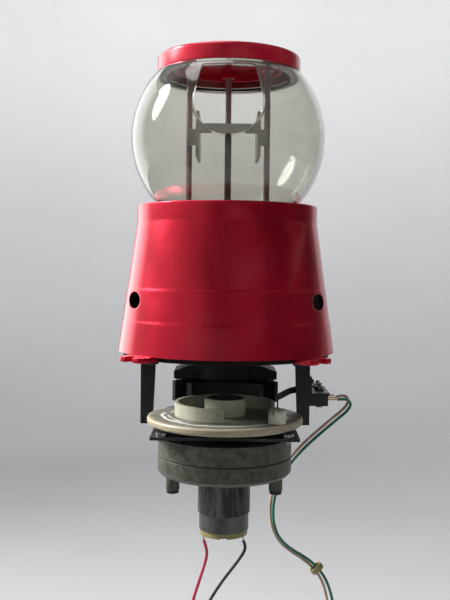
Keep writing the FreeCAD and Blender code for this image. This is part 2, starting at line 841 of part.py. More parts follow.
def make_case():
    case = cyl(box_r, case_z, case_top_z, 0, drive_y)
    low_rim = [e for e in case.Edges if e.BoundBox.ZMax < case_z + 0.01 and e.BoundBox.XLength > box_r]
    case = case.makeChamfer(case_edge, low_rim)
    case = case.cut(cyl(box_r - box_wall, floor_z, case_top_z, 0, drive_y))
    for x, y in case_boss_places():
        case = case.fuse(cyl(case_boss_r, case_z - case_boss_drop, case_top_z, x, y))
        case = case.cut(hole(x, y, case_z - case_boss_drop, case_top_z))
    case = case.cut(cyl(motor_bush_r + pin_gap, case_z, floor_z, 0, drive_y))
    for x, y in motor_screw_places():
        case = case.cut(hole(x, y, case_z, floor_z)).cut(hole(x, y, floor_z - head_h, floor_z, head_d))
    for x, y in idler_places():
        case = case.cut(hole(x, y, floor_z - idler_pin_in, floor_z, idler_pin_d))
    return case.removeSplitter()


def make_output_bushing():
    low = gear_zs[2] + gear_t + gear_gap
    return tube(bushing_r, shaft_r + run_gap, low, motor_plate_z, 0, drive_y)


# Gear train
def flank_half_angle(teeth, r):
    pitch_r = gear_module * teeth / 2
    base_r = pitch_r * math.cos(math.radians(pressure_deg))

    def roll(at_r):
        press = math.acos(min(1.0, base_r / at_r))
        return math.tan(press) - press

    half_at_pitch = math.pi / (2 * teeth) - backlash / (2 * pitch_r)
    return half_at_pitch + roll(pitch_r) - roll(max(r, base_r))


def gear(teeth, addendum, z0, z1, x, y, tooth_deg):
    pitch_r = gear_module * teeth / 2
    base_r = pitch_r * math.cos(math.radians(pressure_deg))
    root_r = pitch_r - dedendum * gear_module
    tip_r = pitch_r + addendum * gear_module
    low_r = max(base_r, root_r + root_step * gear_module)
    rs = [root_r, low_r, pitch_r, (pitch_r + tip_r) / 2, tip_r]
    rise = [(r, -flank_half_angle(teeth, r)) for r in rs]
    outline = rise + [(r, -a) for r, a in reversed(rise)]
    points = []
    for i in range(teeth):
        middle = math.radians(tooth_deg) + 2 * math.pi * i / teeth
        points += [(x + r * math.cos(middle + a), y + r * math.sin(middle + a)) for r, a in outline]
    return prism(points, z0, z1)


def pinion(level, extra, x, y, towards_deg):
    z0 = gear_zs[level] - extra
    return gear(pinion_teeth, pinion_addendum, z0, gear_zs[level] + gear_t, x, y, towards_deg)


def wheel(level, x, y, towards_deg):
    half_tooth = 180 / wheel_teeth
    z = gear_zs[level]
    return gear(wheel_teeth, wheel_addendum, z, z + gear_t, x, y, towards_deg + half_tooth)


def make_idlers():
    (ax, ay), (bx, by) = idler_places()
    between = math.degrees(math.atan2(by - ay, bx - ax))
    bore = idler_pin_d / 2 + run_gap
    first = wheel(0, ax, ay, first_idler_deg + 180).fuse(pinion(1, gear_gap, ax, ay, between))
    second = wheel(1, bx, by, between + 180).fuse(pinion(2, gear_gap, bx, by, second_idler_deg + 180))
    first = first.cut(cyl(bore, floor_z, roof_z, ax, ay))
    second = second.cut(cyl(bore, floor_z, roof_z, bx, by))
    return first.removeSplitter(), second.removeSplitter()


def make_output_gear():
    output = wheel(2, 0, drive_y, second_idler_deg)
    return output.cut(cyl(shaft_r, gear_zs[2], gear_zs[2] + gear_t, 0, drive_y))


def make_motor_pinion():
    return pinion(0, 0, 0, drive_y, first_idler_deg).cut(
        cyl(motor_shaft_d / 2, gear_zs[0], gear_zs[0] + gear_t, 0, drive_y))


# Motor
def motor_screw_places():
    x, y = motor_screw
    return [(x, drive_y + y), (-x, drive_y + y)]


def make_can():
    can = cyl(can_r, can_z, case_z, 0, drive_y)
    can = can.cut(cyl(can_r - can_wall, can_z, case_z - can_front, 0, drive_y))
    can = can.cut(cyl(motor_bush_r + pin_gap, case_z - can_front, case_z, 0, drive_y))
    for x, y in motor_screw_places():
        can = can.cut(hole(x, y, case_z - can_front, case_z))
    return can


def make_flux_ring():
    top = case_z - flux_top_gap
    ring = tube(can_r + pin_gap + flux_t, can_r + pin_gap, top - flux_h, top, 0, drive_y)
    seam = box(can_r - 1, can_r + flux_t + 1, -flux_seam / 2, flux_seam / 2, top - flux_h, top)
    seam.rotate(V(0, 0, 0), UP, flux_seam_deg)
    seam.translate(V(0, drive_y, 0))
    return ring.cut(seam)


def make_magnets():
    magnets = []
    z0, z1 = core_z - magnet_over, core_top_z + magnet_over
    for middle in (90, 270):
        whole = tube(magnet_r, magnet_r - magnet_t, z0, z1, 0, drive_y)
        pie = wedge(magnet_r + 1, z0, z1, middle - magnet_deg / 2, magnet_deg, 0, drive_y)
        magnets.append(whole.common(pie))
    return magnets


def slot_sectors():
    open_deg = 120 - pole_deg
    return [wedge(core_r + 1, core_z, core_top_z, 30 + 120 * i - open_deg / 2, open_deg, 0, drive_y)
            for i in range(3)]


def make_core():
    core = cyl(core_r, core_z, core_top_z, 0, drive_y)
    for pie in slot_sectors():
        core = core.cut(pie.cut(cyl(slot_in_r, core_z, core_top_z, 0, drive_y)))
    return core.cut(cyl(motor_shaft_d / 2, core_z, core_top_z, 0, drive_y))


def make_windings():
    room = tube(core_r - winding_sink, slot_in_r, core_z, core_top_z, 0, drive_y)
    return [room.common(pie) for pie in slot_sectors()]


def make_commutator():
    return tube(comm_r, motor_shaft_d / 2, comm_top_z - comm_h, comm_top_z, 0, drive_y)


def make_cap():
    cap = cyl(cap_r, cap_z, can_z, 0, drive_y)
    cap = cap.fuse(cyl(can_r - can_wall - pin_gap, can_z, can_z + cap_plug, 0, drive_y))
    cap = cap.fuse(cyl(cap_boss_r, cap_z - cap_boss_h, cap_z, 0, drive_y))
    cap = cap.cut(cyl(rear_bush_r, cap_z - cap_boss_h / 2, can_z + cap_plug, 0, drive_y))
    for side in (-1, 1):
        cap = cap.cut(terminal_blank(side))
        edge = drive_y + side * cap_r
        notch = box(-cap_notch, cap_notch, edge - cap_notch, edge + cap_notch, cap_z, can_z - cap_rim)
        cap = cap.cut(notch)
    return cap.removeSplitter()


def terminal_blank(side):
    x0, x1 = sorted((side * (terminal_x - terminal_t / 2), side * (terminal_x + terminal_t / 2)))
    return box(x0, x1, drive_y - terminal_w / 2, drive_y + terminal_w / 2, terminal_z, comm_top_z)


def make_brush(side):
    x0, x1 = sorted((side * (comm_r + run_gap), side * (terminal_x - terminal_t / 2)))
    middle = comm_top_z - comm_h / 2
    half = brush_w / 2
    return box(x0, x1, drive_y - half, drive_y + half, middle - half, middle + half)


# Switch on its bracket, with lever and plunger
def switch_screw_ys():
    middle = switch_y + switch_len / 2
    return [middle - switch_screw_pitch / 2, middle + switch_screw_pitch / 2]


def switch_screw_x():
    return switch_x + switch_screw_in


def make_switch_bracket():
    end_y = switch_y + switch_len
    shelf = box(leg_x, switch_x + switch_depth, bracket_y, end_y, switch_top_z, bracket_top_z)
    tab = box(leg_x, leg_x + switch_bracket_t, bracket_y, leg_depth + bracket_y, bracket_top_z,
              bracket_top_z + bracket_up)
    bracket = shelf.fuse(tab)
    for y in switch_screw_ys():
        bracket = bracket.cut(hole(switch_screw_x(), y, switch_top_z, bracket_top_z, switch_screw_d))
    y, z = bracket_screw_place()
    into_leg = bar_x(switch_screw_d / 2 + pin_gap, leg_x, leg_x + switch_bracket_t, y, z)
    return bracket.cut(into_leg).removeSplitter()


def make_switch_body():
    body = box(switch_x, switch_x + switch_depth, switch_y, switch_y + switch_len, switch_z, switch_top_z)
    for y in switch_screw_ys():
        body = body.cut(hole(switch_screw_x(), y, switch_z, switch_top_z, switch_screw_d))
    bore = bar_x(plunger_d / 2 + run_gap, switch_x, switch_x + plunger_in + plunger_out,
                 plunger_y, switch_mid_z)
    for blank in blade_blanks():
        body = body.cut(blank)
    ear = box(lever_x - ear_out, switch_x, pivot_y - ear_half, pivot_y + ear_half,
              ear_top_z - ear_t, ear_top_z)
    body = body.cut(bore).fuse(ear)
    pivot = cyl(pivot_d / 2, ear_top_z, switch_top_z - slide_gap, lever_x + lever_t / 2, pivot_y)
    return body.fuse(pivot).removeSplitter()


def blade_blanks():
    x0 = switch_x + switch_depth - blade_in
    x1 = switch_x + switch_depth + blade_out
    middle = switch_y + switch_len / 2
    pitch = blade_pitch
    return [box(x0, x1, middle + i * pitch - blade_w / 2, middle + i * pitch + blade_w / 2,
                switch_mid_z - blade_t / 2, switch_mid_z + blade_t / 2) for i in (-1, 0, 1)]


def strip(a, b, z0, z1):
    run = V(b[0] - a[0], b[1] - a[1], 0)
    side = V(-run.y, run.x, 0) / run.Length * (lever_t / 2)
    points = [(a[0] + side.x, a[1] + side.y), (b[0] + side.x, b[1] + side.y),
              (b[0] - side.x, b[1] - side.y), (a[0] - side.x, a[1] - side.y)]
    return prism(points, z0, z1)


def make_lever():
    low = ear_top_z + slide_gap
    high = switch_top_z - 2 * slide_gap
    pivot = (lever_x + lever_t / 2, pivot_y)
    knee = (lever_x + lever_t / 2, plunger_y - knee_out)
    elbow = (leg_x - leg_w_top - elbow_gap, -2 * slide_gap)
    tip = (tip_x + lever_t / 2, drive_y + finger_back)
    end = (tip[0], tip[1] - finger_len)
    lever = strip(pivot, knee, low, high)
    lever = lever.fuse(strip((knee[0], knee[1] + riser_w), knee, low, arm_top_z))
    lever = lever.fuse(strip(knee, elbow, arm_z, arm_top_z))
    lever = lever.fuse(strip(elbow, tip, arm_z, arm_top_z))
    lever = lever.fuse(strip(tip, end, disc_top_z + finger_lift, arm_top_z))
    for x, y in (knee, elbow, tip):
        lever = lever.fuse(cyl(lever_t / 2, arm_z, arm_top_z, x, y))
    eye = cyl(eye_d / 2, low, high, *pivot)
    return lever.fuse(eye).cut(cyl(pivot_d / 2 + run_gap, low, high, *pivot)).removeSplitter()


def make_plunger():
    return bar_x(plunger_d / 2, switch_x - plunger_out, switch_x + plunger_in, plunger_y, switch_mid_z)


def make_switch_screws():
    parts = []
    for y in switch_screw_ys():
        x = switch_screw_x()
        shank = cyl(switch_screw_d / 2, switch_z, bracket_top_z + small_nut_h + thread_out, x, y)
        head = cyl(small_head_r, switch_z - small_head_h, switch_z, x, y)
        parts.append(head.fuse(shank).removeSplitter())
    return parts


def make_switch_nuts():
    nuts = []
    for y in switch_screw_ys():
        x = switch_screw_x()
        corners = [round_place(small_nut_r, 60 * i, x, y) for i in range(6)]
        nut = prism(corners, bracket_top_z, bracket_top_z + small_nut_h)
        nuts.append(nut.cut(cyl(switch_screw_d / 2, bracket_top_z, bracket_top_z + small_nut_h, x, y)))
    return nuts


def make_bracket_screw():
    y, z = bracket_screw_place()
    seat = leg_x + switch_bracket_t
    shank = bar_x(switch_screw_d / 2, leg_x - leg_t - thread_out, seat, y, z)
    head = bar_x(small_head_r, seat, seat + small_head_h, y, z)
    return shank.fuse(head).removeSplitter()


# Leads: straight runs joined by tangent arcs
def lead_tube(name, points):
    knots = [V(*p) for p in points]
    edges = []
    radii = []
    start = knots[0]
    for i in range(1, len(knots) - 1):
        back = knots[i - 1] - knots[i]
        ahead = knots[i + 1] - knots[i]
        turn = math.pi - back.getAngle(ahead)
        cut = 0.45 * min(back.Length, ahead.Length)
        radius = cut / math.tan(turn / 2)
        radii.append(round(radius, 1))
        into = knots[i] + back.normalize() * cut
        out = knots[i] + ahead.normalize() * cut
        half = (back + ahead).normalize()
        middle = knots[i] + half * (radius / math.cos(turn / 2) - radius)
        edges.append(Part.LineSegment(start, into).toShape())
        edges.append(Part.Arc(into, middle, out).toShape())
        start = out
    edges.append(Part.LineSegment(start, knots[-1]).toShape())
    path = Part.Wire(edges)
    length = path.Length
    first = knots[1] - knots[0]
    ring = Part.Wire([Part.makeCircle(lead_d / 2, knots[0], first)])
    lead = path.makePipeShell([ring], True, False)
    ideal = math.pi * lead_d ** 2 / 4 * length
    print(name, "length", round(length, 1), "radii", radii, "volume share", round(lead.Volume / ideal, 4))
    return lead


red_route = [(-9.3, -22.5, -85.7), (-8.3, -22.7, -88.6), (-7.6, -23.0, -92.0), (-8.8, -23.2, -97.5),
             (-11.6, -23.3, -106.0), (-14.8, -23.2, -117.0), (-17.6, -23.0, -130.0), (-19.4, -22.7, -144.0),
             (-20.2, -22.5, -157.0), (-20.4, -22.5, -166.0), (-20.3, -22.5, -172.0)]
black_route = [(9.3, -22.5, -85.7), (10.2, -22.6, -87.6), (10.2, -22.8, -90.2), (8.2, -23.0, -93.6),
               (4.4, -23.2, -98.6), (-1.4, -23.3, -106.4), (-7.4, -23.2, -116.4), (-12.2, -23.0, -128.0),
               (-15.2, -22.7, -141.0), (-16.6, -22.5, -154.0), (-17.0, -22.5, -165.0), (-16.9, -22.5, -172.0)]
green_route = [(57.2, 10.6, -23.6), (60.4, 10.8, -23.2), (64.0, 11.3, -24.2), (66.2, 11.8, -27.2),
               (65.2, 12.2, -31.0), (61.0, 12.4, -35.4), (53.6, 12.5, -43.0), (44.6, 12.5, -52.4),
               (35.6, 12.4, -62.0), (29.0, 12.3, -71.6), (26.2, 12.2, -81.0), (26.4, 12.2, -89.4),
               (29.4, 12.2, -96.2), (35.0, 12.2, -101.0), (42.0, 12.2, -105.2), (48.6, 12.2, -110.4),
               (53.4, 12.2, -117.6), (56.4, 12.3, -127.0), (58.2, 12.4, -140.0), (59.0, 12.5, -156.0),
               (59.1, 12.5, -172.0), (58.7, 12.5, -186.0), (58.5, 12.5, -196.0)]
tan_route = [(57.2, 18.3, -23.6), (60.6, 17.6, -22.4), (63.6, 16.0, -23.0), (64.6, 14.4, -26.0),
             (62.6, 13.4, -29.8), (58.6, 12.7, -34.0), (51.8, 12.3, -41.4), (42.8, 12.2, -50.8),
             (33.6, 12.4, -60.6), (26.8, 13.2, -70.4), (24.0, 14.0, -80.6), (24.8, 14.4, -90.4),
             (28.6, 14.4, -97.8), (34.4, 14.3, -102.6), (41.2, 14.3, -107.0), (47.4, 14.3, -112.2),
             (51.6, 14.3, -119.2), (54.0, 14.0, -128.4), (55.0, 13.4, -141.0), (55.2, 12.8, -156.6),
             (55.0, 12.5, -172.0), (54.9, 12.5, -186.0), (55.1, 12.5, -196.0)]


def make_plug(route_a, route_b):
    xa, ya, za = route_a[-1]
    xb = route_b[-1][0]
    x = (xa + xb) / 2
    plug = box(x - plug_w / 2, x + plug_w / 2, ya - plug_t / 2, ya + plug_t / 2, za - plug_h, za)
    upright = [e for e in plug.Edges if e.BoundBox.ZLength > plug_h / 2]
    plug = plug.makeFillet(plug_round, upright)
    for side in (xa, xb):
        plug = plug.cut(box(side - contact_half, side + contact_half, ya - contact_half, ya + contact_half,
                            za - plug_h, za - plug_h + contact_deep))
    return plug


def make_tie():
    near_a = V(*green_route[15])
    near_b = V(*tan_route[15])
    middle = (near_a + near_b) / 2
    way = (V(*green_route[16]) - V(*green_route[14])).normalize()
    reach = (near_a - near_b).Length / 2 + lead_d
    ring = Part.makeCylinder(reach + tie_out, tie_w, middle - way * (tie_w / 2), way)
    return ring.cut(Part.makeCylinder(reach - tie_in, tie_w, middle - way * (tie_w / 2), way))


def main():
    os.makedirs("parts", exist_ok=True)
    save("lid", make_lid())
    save("globe", make_globe())
    for name, (x, y) in zip(("left_rod", "right_rod", "back_rod"), side_rod_places()):
        save(name, make_rod(x, y, rod_top_z))
    save("front_rod", make_rod(0, front_rod_y, bar_z))
    save("cage_bracket", make_bracket())
    save("housing", make_housing())
    save("base_plate", make_base_plate())
    save("ball_funnel", make_funnel())
    save("funnel_posts", *make_posts())
    save("turret_shroud", make_shroud())
    save("ball_turret", make_turret())
    save("turret_shaft", cyl(shaft_r, star_z, turret_top_z, 0, star_y))
    save("bearing_block", make_bearing_block())
    save("base_screws", *make_base_screws())
    save("star_wheel", make_star())
    save("star_retainer", make_retainer())
    save("drive_disc", make_disc())
    save("drive_pin", make_drive_pin())
    save("grub_screw", make_grub())
    save("left_leg", mirrored(make_leg()))
    save("right_leg", make_right_leg())
    save("motor_plate", make_motor_plate())
    save("plate_screws", *make_plate_screws())
    save("gearbox_cover", make_cover())
    save("gearbox_gasket", make_gasket())
    save("gearbox_case", make_case())
    case_screw_len = case_boss_drop + case_h + gasket_t + cover_h / 2
    save("case_screws", *[screw(x, y, case_z - case_boss_drop, case_screw_len, down=False)
                          for x, y in case_boss_places()])
    save("output_bushing", make_output_bushing())
    save("output_shaft", cyl(shaft_r, gear_zs[2], hub_top_z - shaft_sink, 0, drive_y))
    save("output_gear", make_output_gear())
    first, second = make_idlers()
    save("first_idler_gear", first)
    save("second_idler_gear", second)
    save("idler_pins", *[cyl(idler_pin_d / 2, floor_z - idler_pin_in, roof_z + idler_pin_in, x, y)
                         for x, y in idler_places()])
    save("motor_pinion", make_motor_pinion())
    bush_z = cap_z - cap_boss_h / 2
    save("motor_shaft", cyl(motor_shaft_d / 2, bush_z + slide_gap, gear_zs[0] + gear_t, 0, drive_y))
    save("armature_core", make_core())
    save("armature_windings", *make_windings())
    save("commutator", make_commutator())
    save("motor_magnets", *make_magnets())
    save("motor_can", make_can())
    save("flux_ring", make_flux_ring())
    bush_in_r = motor_shaft_d / 2 + run_gap
    front_bush = tube(motor_bush_r, bush_in_r, case_z - motor_bush_h / 2, floor_z - rest_gap, 0, drive_y)
    rear_bush = tube(rear_bush_r, bush_in_r, bush_z, can_z + cap_plug, 0, drive_y)
    save("motor_bushings", front_bush, rear_bush)
    save("motor_end_cap", make_cap())
    save("brush_terminals", *[terminal_blank(side).fuse(make_brush(side)).removeSplitter()
                              for side in (-1, 1)])
    save("motor_screws", *[screw(x, y, floor_z - head_h, case_floor - head_h + can_front - screw_short)
                           for x, y in motor_screw_places()])
    save("switch_bracket", make_switch_bracket())
    save("switch_body", make_switch_body())
    save("switch_screws", *make_switch_screws(), *make_switch_nuts(), make_bracket_screw())
    save("switch_lever", make_lever())
    save("switch_plunger", make_plunger())
    save("switch_terminals", *blade_blanks())
    save("red_lead", lead_tube("red", red_route))
    save("black_lead", lead_tube("black", black_route))
    save("green_lead", lead_tube("green", green_route))
    save("tan_lead", lead_tube("tan", tan_route))
    save("lead_tie", make_tie())
    save("motor_plug", make_plug(red_route, black_route))
    save("switch_plug", make_plug(green_route, tan_route))


main()
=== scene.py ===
import json
import math

import bmesh
import bpy
import numpy as np
from mathutils import Matrix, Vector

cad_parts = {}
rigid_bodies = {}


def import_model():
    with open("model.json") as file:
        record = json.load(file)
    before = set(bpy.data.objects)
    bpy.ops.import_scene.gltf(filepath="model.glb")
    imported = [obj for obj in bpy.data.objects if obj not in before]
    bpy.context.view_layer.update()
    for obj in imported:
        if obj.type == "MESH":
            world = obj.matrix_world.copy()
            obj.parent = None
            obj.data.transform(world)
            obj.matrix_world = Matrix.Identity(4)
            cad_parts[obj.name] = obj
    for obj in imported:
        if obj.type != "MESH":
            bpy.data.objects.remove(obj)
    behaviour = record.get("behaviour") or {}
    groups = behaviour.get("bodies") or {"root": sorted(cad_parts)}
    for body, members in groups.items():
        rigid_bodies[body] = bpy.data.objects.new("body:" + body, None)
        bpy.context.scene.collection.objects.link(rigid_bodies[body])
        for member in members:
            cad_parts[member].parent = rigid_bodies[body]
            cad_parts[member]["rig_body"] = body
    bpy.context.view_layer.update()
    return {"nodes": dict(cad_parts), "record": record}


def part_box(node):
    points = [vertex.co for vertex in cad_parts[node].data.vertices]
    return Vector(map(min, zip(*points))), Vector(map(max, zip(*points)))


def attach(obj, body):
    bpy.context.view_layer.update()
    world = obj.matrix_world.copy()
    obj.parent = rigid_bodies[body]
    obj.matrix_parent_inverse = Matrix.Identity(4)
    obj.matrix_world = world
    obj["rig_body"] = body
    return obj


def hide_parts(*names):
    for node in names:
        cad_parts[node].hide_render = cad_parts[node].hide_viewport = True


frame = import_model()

cadNodes = frame["nodes"]
slotOf = {part["node"]: part["material_slot"] for part in frame["record"]["subparts"]}
mm = 0.001
print("frame loaded:", len(cadNodes), "nodes")


class values(dict):
    # a dictionary whose entries are also read by name, as in lidShape.radius
    __getattr__ = dict.__getitem__


def added(name, data):
    item = bpy.data.objects.new(name, data)
    bpy.context.scene.collection.objects.link(item)
    return item


# Camera at the photograph's angle: level with the housing's upper half, looking along +Y and a little down
cameraView = values(place=(-0.0006, -0.4195, 0.0432), pitchDeg=2.27, rollDeg=0.67, lens=51.2, clipStart=0.01)


def addCamera():
    data = bpy.data.cameras.new("photoCamera")
    data.lens = cameraView.lens
    data.clip_start = cameraView.clipStart
    camera = added("photoCamera", data)
    tilt = Matrix.Rotation(math.radians(90 - cameraView.pitchDeg), 4, "X")
    roll = Matrix.Rotation(math.radians(cameraView.rollDeg), 4, "Z")
    camera.matrix_world = Matrix.Translation(cameraView.place) @ tilt @ roll
    bpy.context.scene.camera = camera


addCamera()

# Limits for every mesh, in metres and degrees
limits = values(
    weldGap=2e-6, shortEdge=1e-7, flatDeg=1, sharpDeg=35, wallSharpDeg=50, solidSharpDeg=32, edgeSegments=2)


# Mesh tools: every shape below is a grid of points, and each cell of the grid is one quad
def gridQuads(rows, cols, wrapRows=False, wrapCols=False):
    row, col = np.meshgrid(np.arange(rows if wrapRows else rows - 1),
                           np.arange(cols if wrapCols else cols - 1), indexing="ij")
    nextRow, nextCol = (row + 1) % rows, (col + 1) % cols
    corners = [row * cols + col, row * cols + nextCol, nextRow * cols + nextCol, nextRow * cols + col]
    return np.stack(corners, -1).reshape(-1, 4)


def joined(*parts):
    # stack the point lists, and shift each part's quads past the points before it
    pointLists, quadLists = zip(*parts)
    starts = np.cumsum([0] + [len(points) for points in pointLists[:-1]])
    return np.concatenate(pointLists), np.concatenate([quads + start for quads, start in zip(quadLists, starts)])


def rounded(corners, steps):
    # corners are (a, b, radius): each is cut back by radius / tan(half angle) and an arc takes its place
    spots = np.array([corner[:2] for corner in corners], float)
    outline = []
    for index, corner in enumerate(corners):
        here = spots[index]
        if corner[2] == 0:
            outline.append(here[None])
            continue
        back = spots[index - 1] - here
        ahead = spots[(index + 1) % len(spots)] - here
        back /= np.linalg.norm(back)
        ahead /= np.linalg.norm(ahead)
        half = math.acos(np.clip(back @ ahead, -1, 1)) / 2
        middle = back + ahead
        centre = here + middle / np.linalg.norm(middle) * corner[2] / math.sin(half)
        start = here + back * corner[2] / math.tan(half) - centre
        end = here + ahead * corner[2] / math.tan(half) - centre
        turn = math.atan2(start[0] * end[1] - start[1] * end[0], start @ end)
        angle = np.linspace(0, turn, steps)[:, None]
        side = np.array([-start[1], start[0]])
        outline.append(centre + np.cos(angle) * start + np.sin(angle) * side)
    return np.concatenate(outline)


def spun(profile, segments, centre=(0, 0), closed=True):
    # (radius, z) carried round an upright axis: x = radius cos(turn), y = radius sin(turn)
    turn = np.arange(segments) * 2 * np.pi / segments
    radius, z = profile[:, 0, None], profile[:, 1, None]
    points = np.stack([centre[0] + radius * np.cos(turn), centre[1] + radius * np.sin(turn),
                       z + 0 * turn], -1).reshape(-1, 3)
    return points, gridQuads(len(profile), segments, closed, True)


def addPiece(name, node, shape, material, sharpDeg=limits.sharpDeg):
    points, quads = shape
    mesh = bpy.data.meshes.new(name)
    mesh.vertices.add(len(points))
    mesh.vertices.foreach_set("co", np.ascontiguousarray(points * mm, np.float32).ravel())
    mesh.loops.add(quads.size)
    mesh.loops.foreach_set("vertex_index", np.ascontiguousarray(quads, np.int32).ravel())
    mesh.polygons.add(len(quads))
    mesh.polygons.foreach_set("loop_start", np.arange(0, quads.size, 4, dtype=np.int32))
    mesh.update(calc_edges=True)
    weld(mesh, outward=True)
    return place(name, node, mesh, material, sharpDeg)


def weld(mesh, flatDeg=None, outward=False):
    shape = bmesh.new()
    shape.from_mesh(mesh)
    bmesh.ops.remove_doubles(shape, verts=shape.verts, dist=limits.weldGap)
    bmesh.ops.dissolve_degenerate(shape, edges=shape.edges, dist=limits.shortEdge)
    if flatDeg:
        bmesh.ops.dissolve_limit(shape, angle_limit=math.radians(flatDeg), verts=shape.verts, edges=shape.edges)
    if outward:
        bmesh.ops.recalc_face_normals(shape, faces=shape.faces)
    shape.to_mesh(mesh)
    shape.free()
    mesh.polygons.foreach_set("use_smooth", np.ones(len(mesh.polygons), bool))


def place(name, node, mesh, material, sharpDeg):
    # a smooth-shaded piece that stands for the node's solid, on the same body
    mesh.materials.clear()
    mesh.materials.append(material)
    mesh.set_sharp_from_angle(angle=math.radians(sharpDeg))
    piece = added(name, mesh)
    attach(piece, cadNodes[node]["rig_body"])
    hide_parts(node)
    return piece


def dressed(node, material, edge):
    # the solid's own shape, welded, with its sharp edges broken by edge millimetres
    mesh = cadNodes[node].data.copy()
    weld(mesh, flatDeg=limits.flatDeg)
    piece = place(node + "_dressed", node, mesh, material, limits.solidSharpDeg)
    bevel = piece.modifiers.new("edges", "BEVEL")
    bevel.width = edge * mm
    bevel.segments = limits.edgeSegments
    bevel.limit_method = "ANGLE"
    bevel.angle_limit = math.radians(limits.solidSharpDeg)
    bevel.harden_normals = True
    return piece


# Node tools for the materials: each makes one node in the tree of the shader or the value that it is given
def newMaterial(name, sockets):
    material = bpy.data.materials.new(name)
    material.use_nodes = True
    shader = material.node_tree.nodes["Principled BSDF"]
    for socket, value in sockets.items():
        feed(shader, socket, value)
    return material, shader


def newNode(near, kind):
    return near.id_data.nodes.new("ShaderNode" + kind)


def feed(node, socket, value):
    # a number or a colour is set on the socket itself, and anything else is another node's output
    if isinstance(value, (int, float)):
        node.inputs[socket].default_value = value
    elif isinstance(value, tuple):
        node.inputs[socket].default_value = (*value, 1)
    else:
        node.id_data.links.new(value, node.inputs[socket])


def coords(shader, stretch=(1, 1, 1), shift=(0, 0, 0)):
    mapping = newNode(shader, "Mapping")
    mapping.inputs["Location"].default_value = shift
    mapping.inputs["Scale"].default_value = stretch
    feed(mapping, "Vector", newNode(shader, "TexCoord").outputs["Object"])
    return mapping.outputs["Vector"]


def height(shader):
    node = newNode(shader, "SeparateXYZ")
    feed(node, "Vector", coords(shader))
    return node.outputs["Z"]


def distanceFrom(shader, x, y):
    # distance in metres from an upright axis: length of (X - x, Y - y, 0)
    node = newNode(shader, "VectorMath")
    node.operation = "LENGTH"
    feed(node, 0, coords(shader, (1, 1, 0), (-x, -y, 0)))
    return node.outputs["Value"]


def noise(shader, scale, detail, roughness, stretch=(1, 1, 1), shift=(0, 0, 0)):
    node = newNode(shader, "TexNoise")
    for socket, value in zip(("Scale", "Detail", "Roughness"), (scale, detail, roughness)):
        feed(node, socket, value)
    feed(node, "Vector", coords(shader, stretch, shift))
    return node.outputs["Fac"]


def ramp(value, places, colours):
    node = newNode(value, "ValToRGB")
    stops = node.color_ramp.elements
    while len(stops) < len(places):
        stops.new(0.5)
    for stop, at, colour in zip(stops, places, colours):
        stop.position = at
        stop.color = (*colour, 1)
    feed(node, "Fac", value)
    return node.outputs["Color"]


def spread(value, ends, to=(0.0, 1.0)):
    # ends[0] becomes to[0] and ends[1] becomes to[1], with nothing past either
    node = newNode(value, "MapRange")
    for socket, number in zip(("Value", "From Min", "From Max", "To Min", "To Max"), (value, *ends, *to)):
        feed(node, socket, number)
    return node.outputs["Result"]


def math2(kind, first, second=0.0):
    node = newNode(first, "Math")
    node.operation = kind
    feed(node, 0, first)
    feed(node, 1, second)
    return node.outputs["Value"]


def plus(first, second):
    return math2("ADD", first, second)


def times(first, second):
    return math2("MULTIPLY", first, second)


def blend(factor, first, second):
    # a colour mix has its factor at input 0, its colours at 6 and 7 and its result at output 2
    node = newNode(factor, "Mix")
    node.data_type = "RGBA"
    for socket, value in zip((0, 6, 7), (factor, first, second)):
        feed(node, socket, value)
    return node.outputs[2]


def surface(shader, look, colour, gloss, relief):
    # sets the colour, the roughness and a bump, whose depth is in millimetres
    node = newNode(shader, "Bump")
    feed(node, "Strength", look.bump)
    feed(node, "Distance", look.depth * mm)
    feed(node, "Height", relief)
    for socket, value in (("Base Color", colour), ("Roughness", gloss), ("Normal", node.outputs["Normal"])):
        feed(shader, socket, value)


# Looks, here and below: colours are linear, a noise is (scale, detail, roughness, stretch, shift), a stain is
# (colour, scale, share), and the ends of a change are where it starts and where it is complete.
# A finish has these values where its own look gives no others
plainLook = values(
    metal=0.0, ior=1.46, stretch=(1, 1, 1), patchDetail=(5, 0.6), toneEnds=(0.3, 0.7), grain=1400,
    grainDetail=(3, 0.6), glossEnds=(0.12, 0.4), bump=0.2, depth=0.05, stain=None,
    stainDetail=(6, 0.65, (1, 1, 1), (3, 1, 2)), stainEnds=(0.54, 0.72))


def finish(name, ownLook):
    # a two-tone surface: broad patches between dark and light, fine grain in the gloss and a shallow bump
    look = values(plainLook, **ownLook)
    material, shader = newMaterial(name, {"Metallic": look.metal, "IOR": look.ior})
    patches = noise(shader, look.patch, *look.patchDetail, look.stretch)
    grain = noise(shader, look.grain, *look.grainDetail, look.stretch)
    colour = ramp(patches, look.toneEnds, look.tones)
    if look.stain:
        stain, scale, share = look.stain
        marks = noise(shader, scale, *look.stainDetail)
        colour = blend(spread(marks, look.stainEnds, (0.0, share)), colour, stain)
    surface(shader, look, colour, spread(times(patches, grain), look.glossEnds, look.rough), grain)
    return material


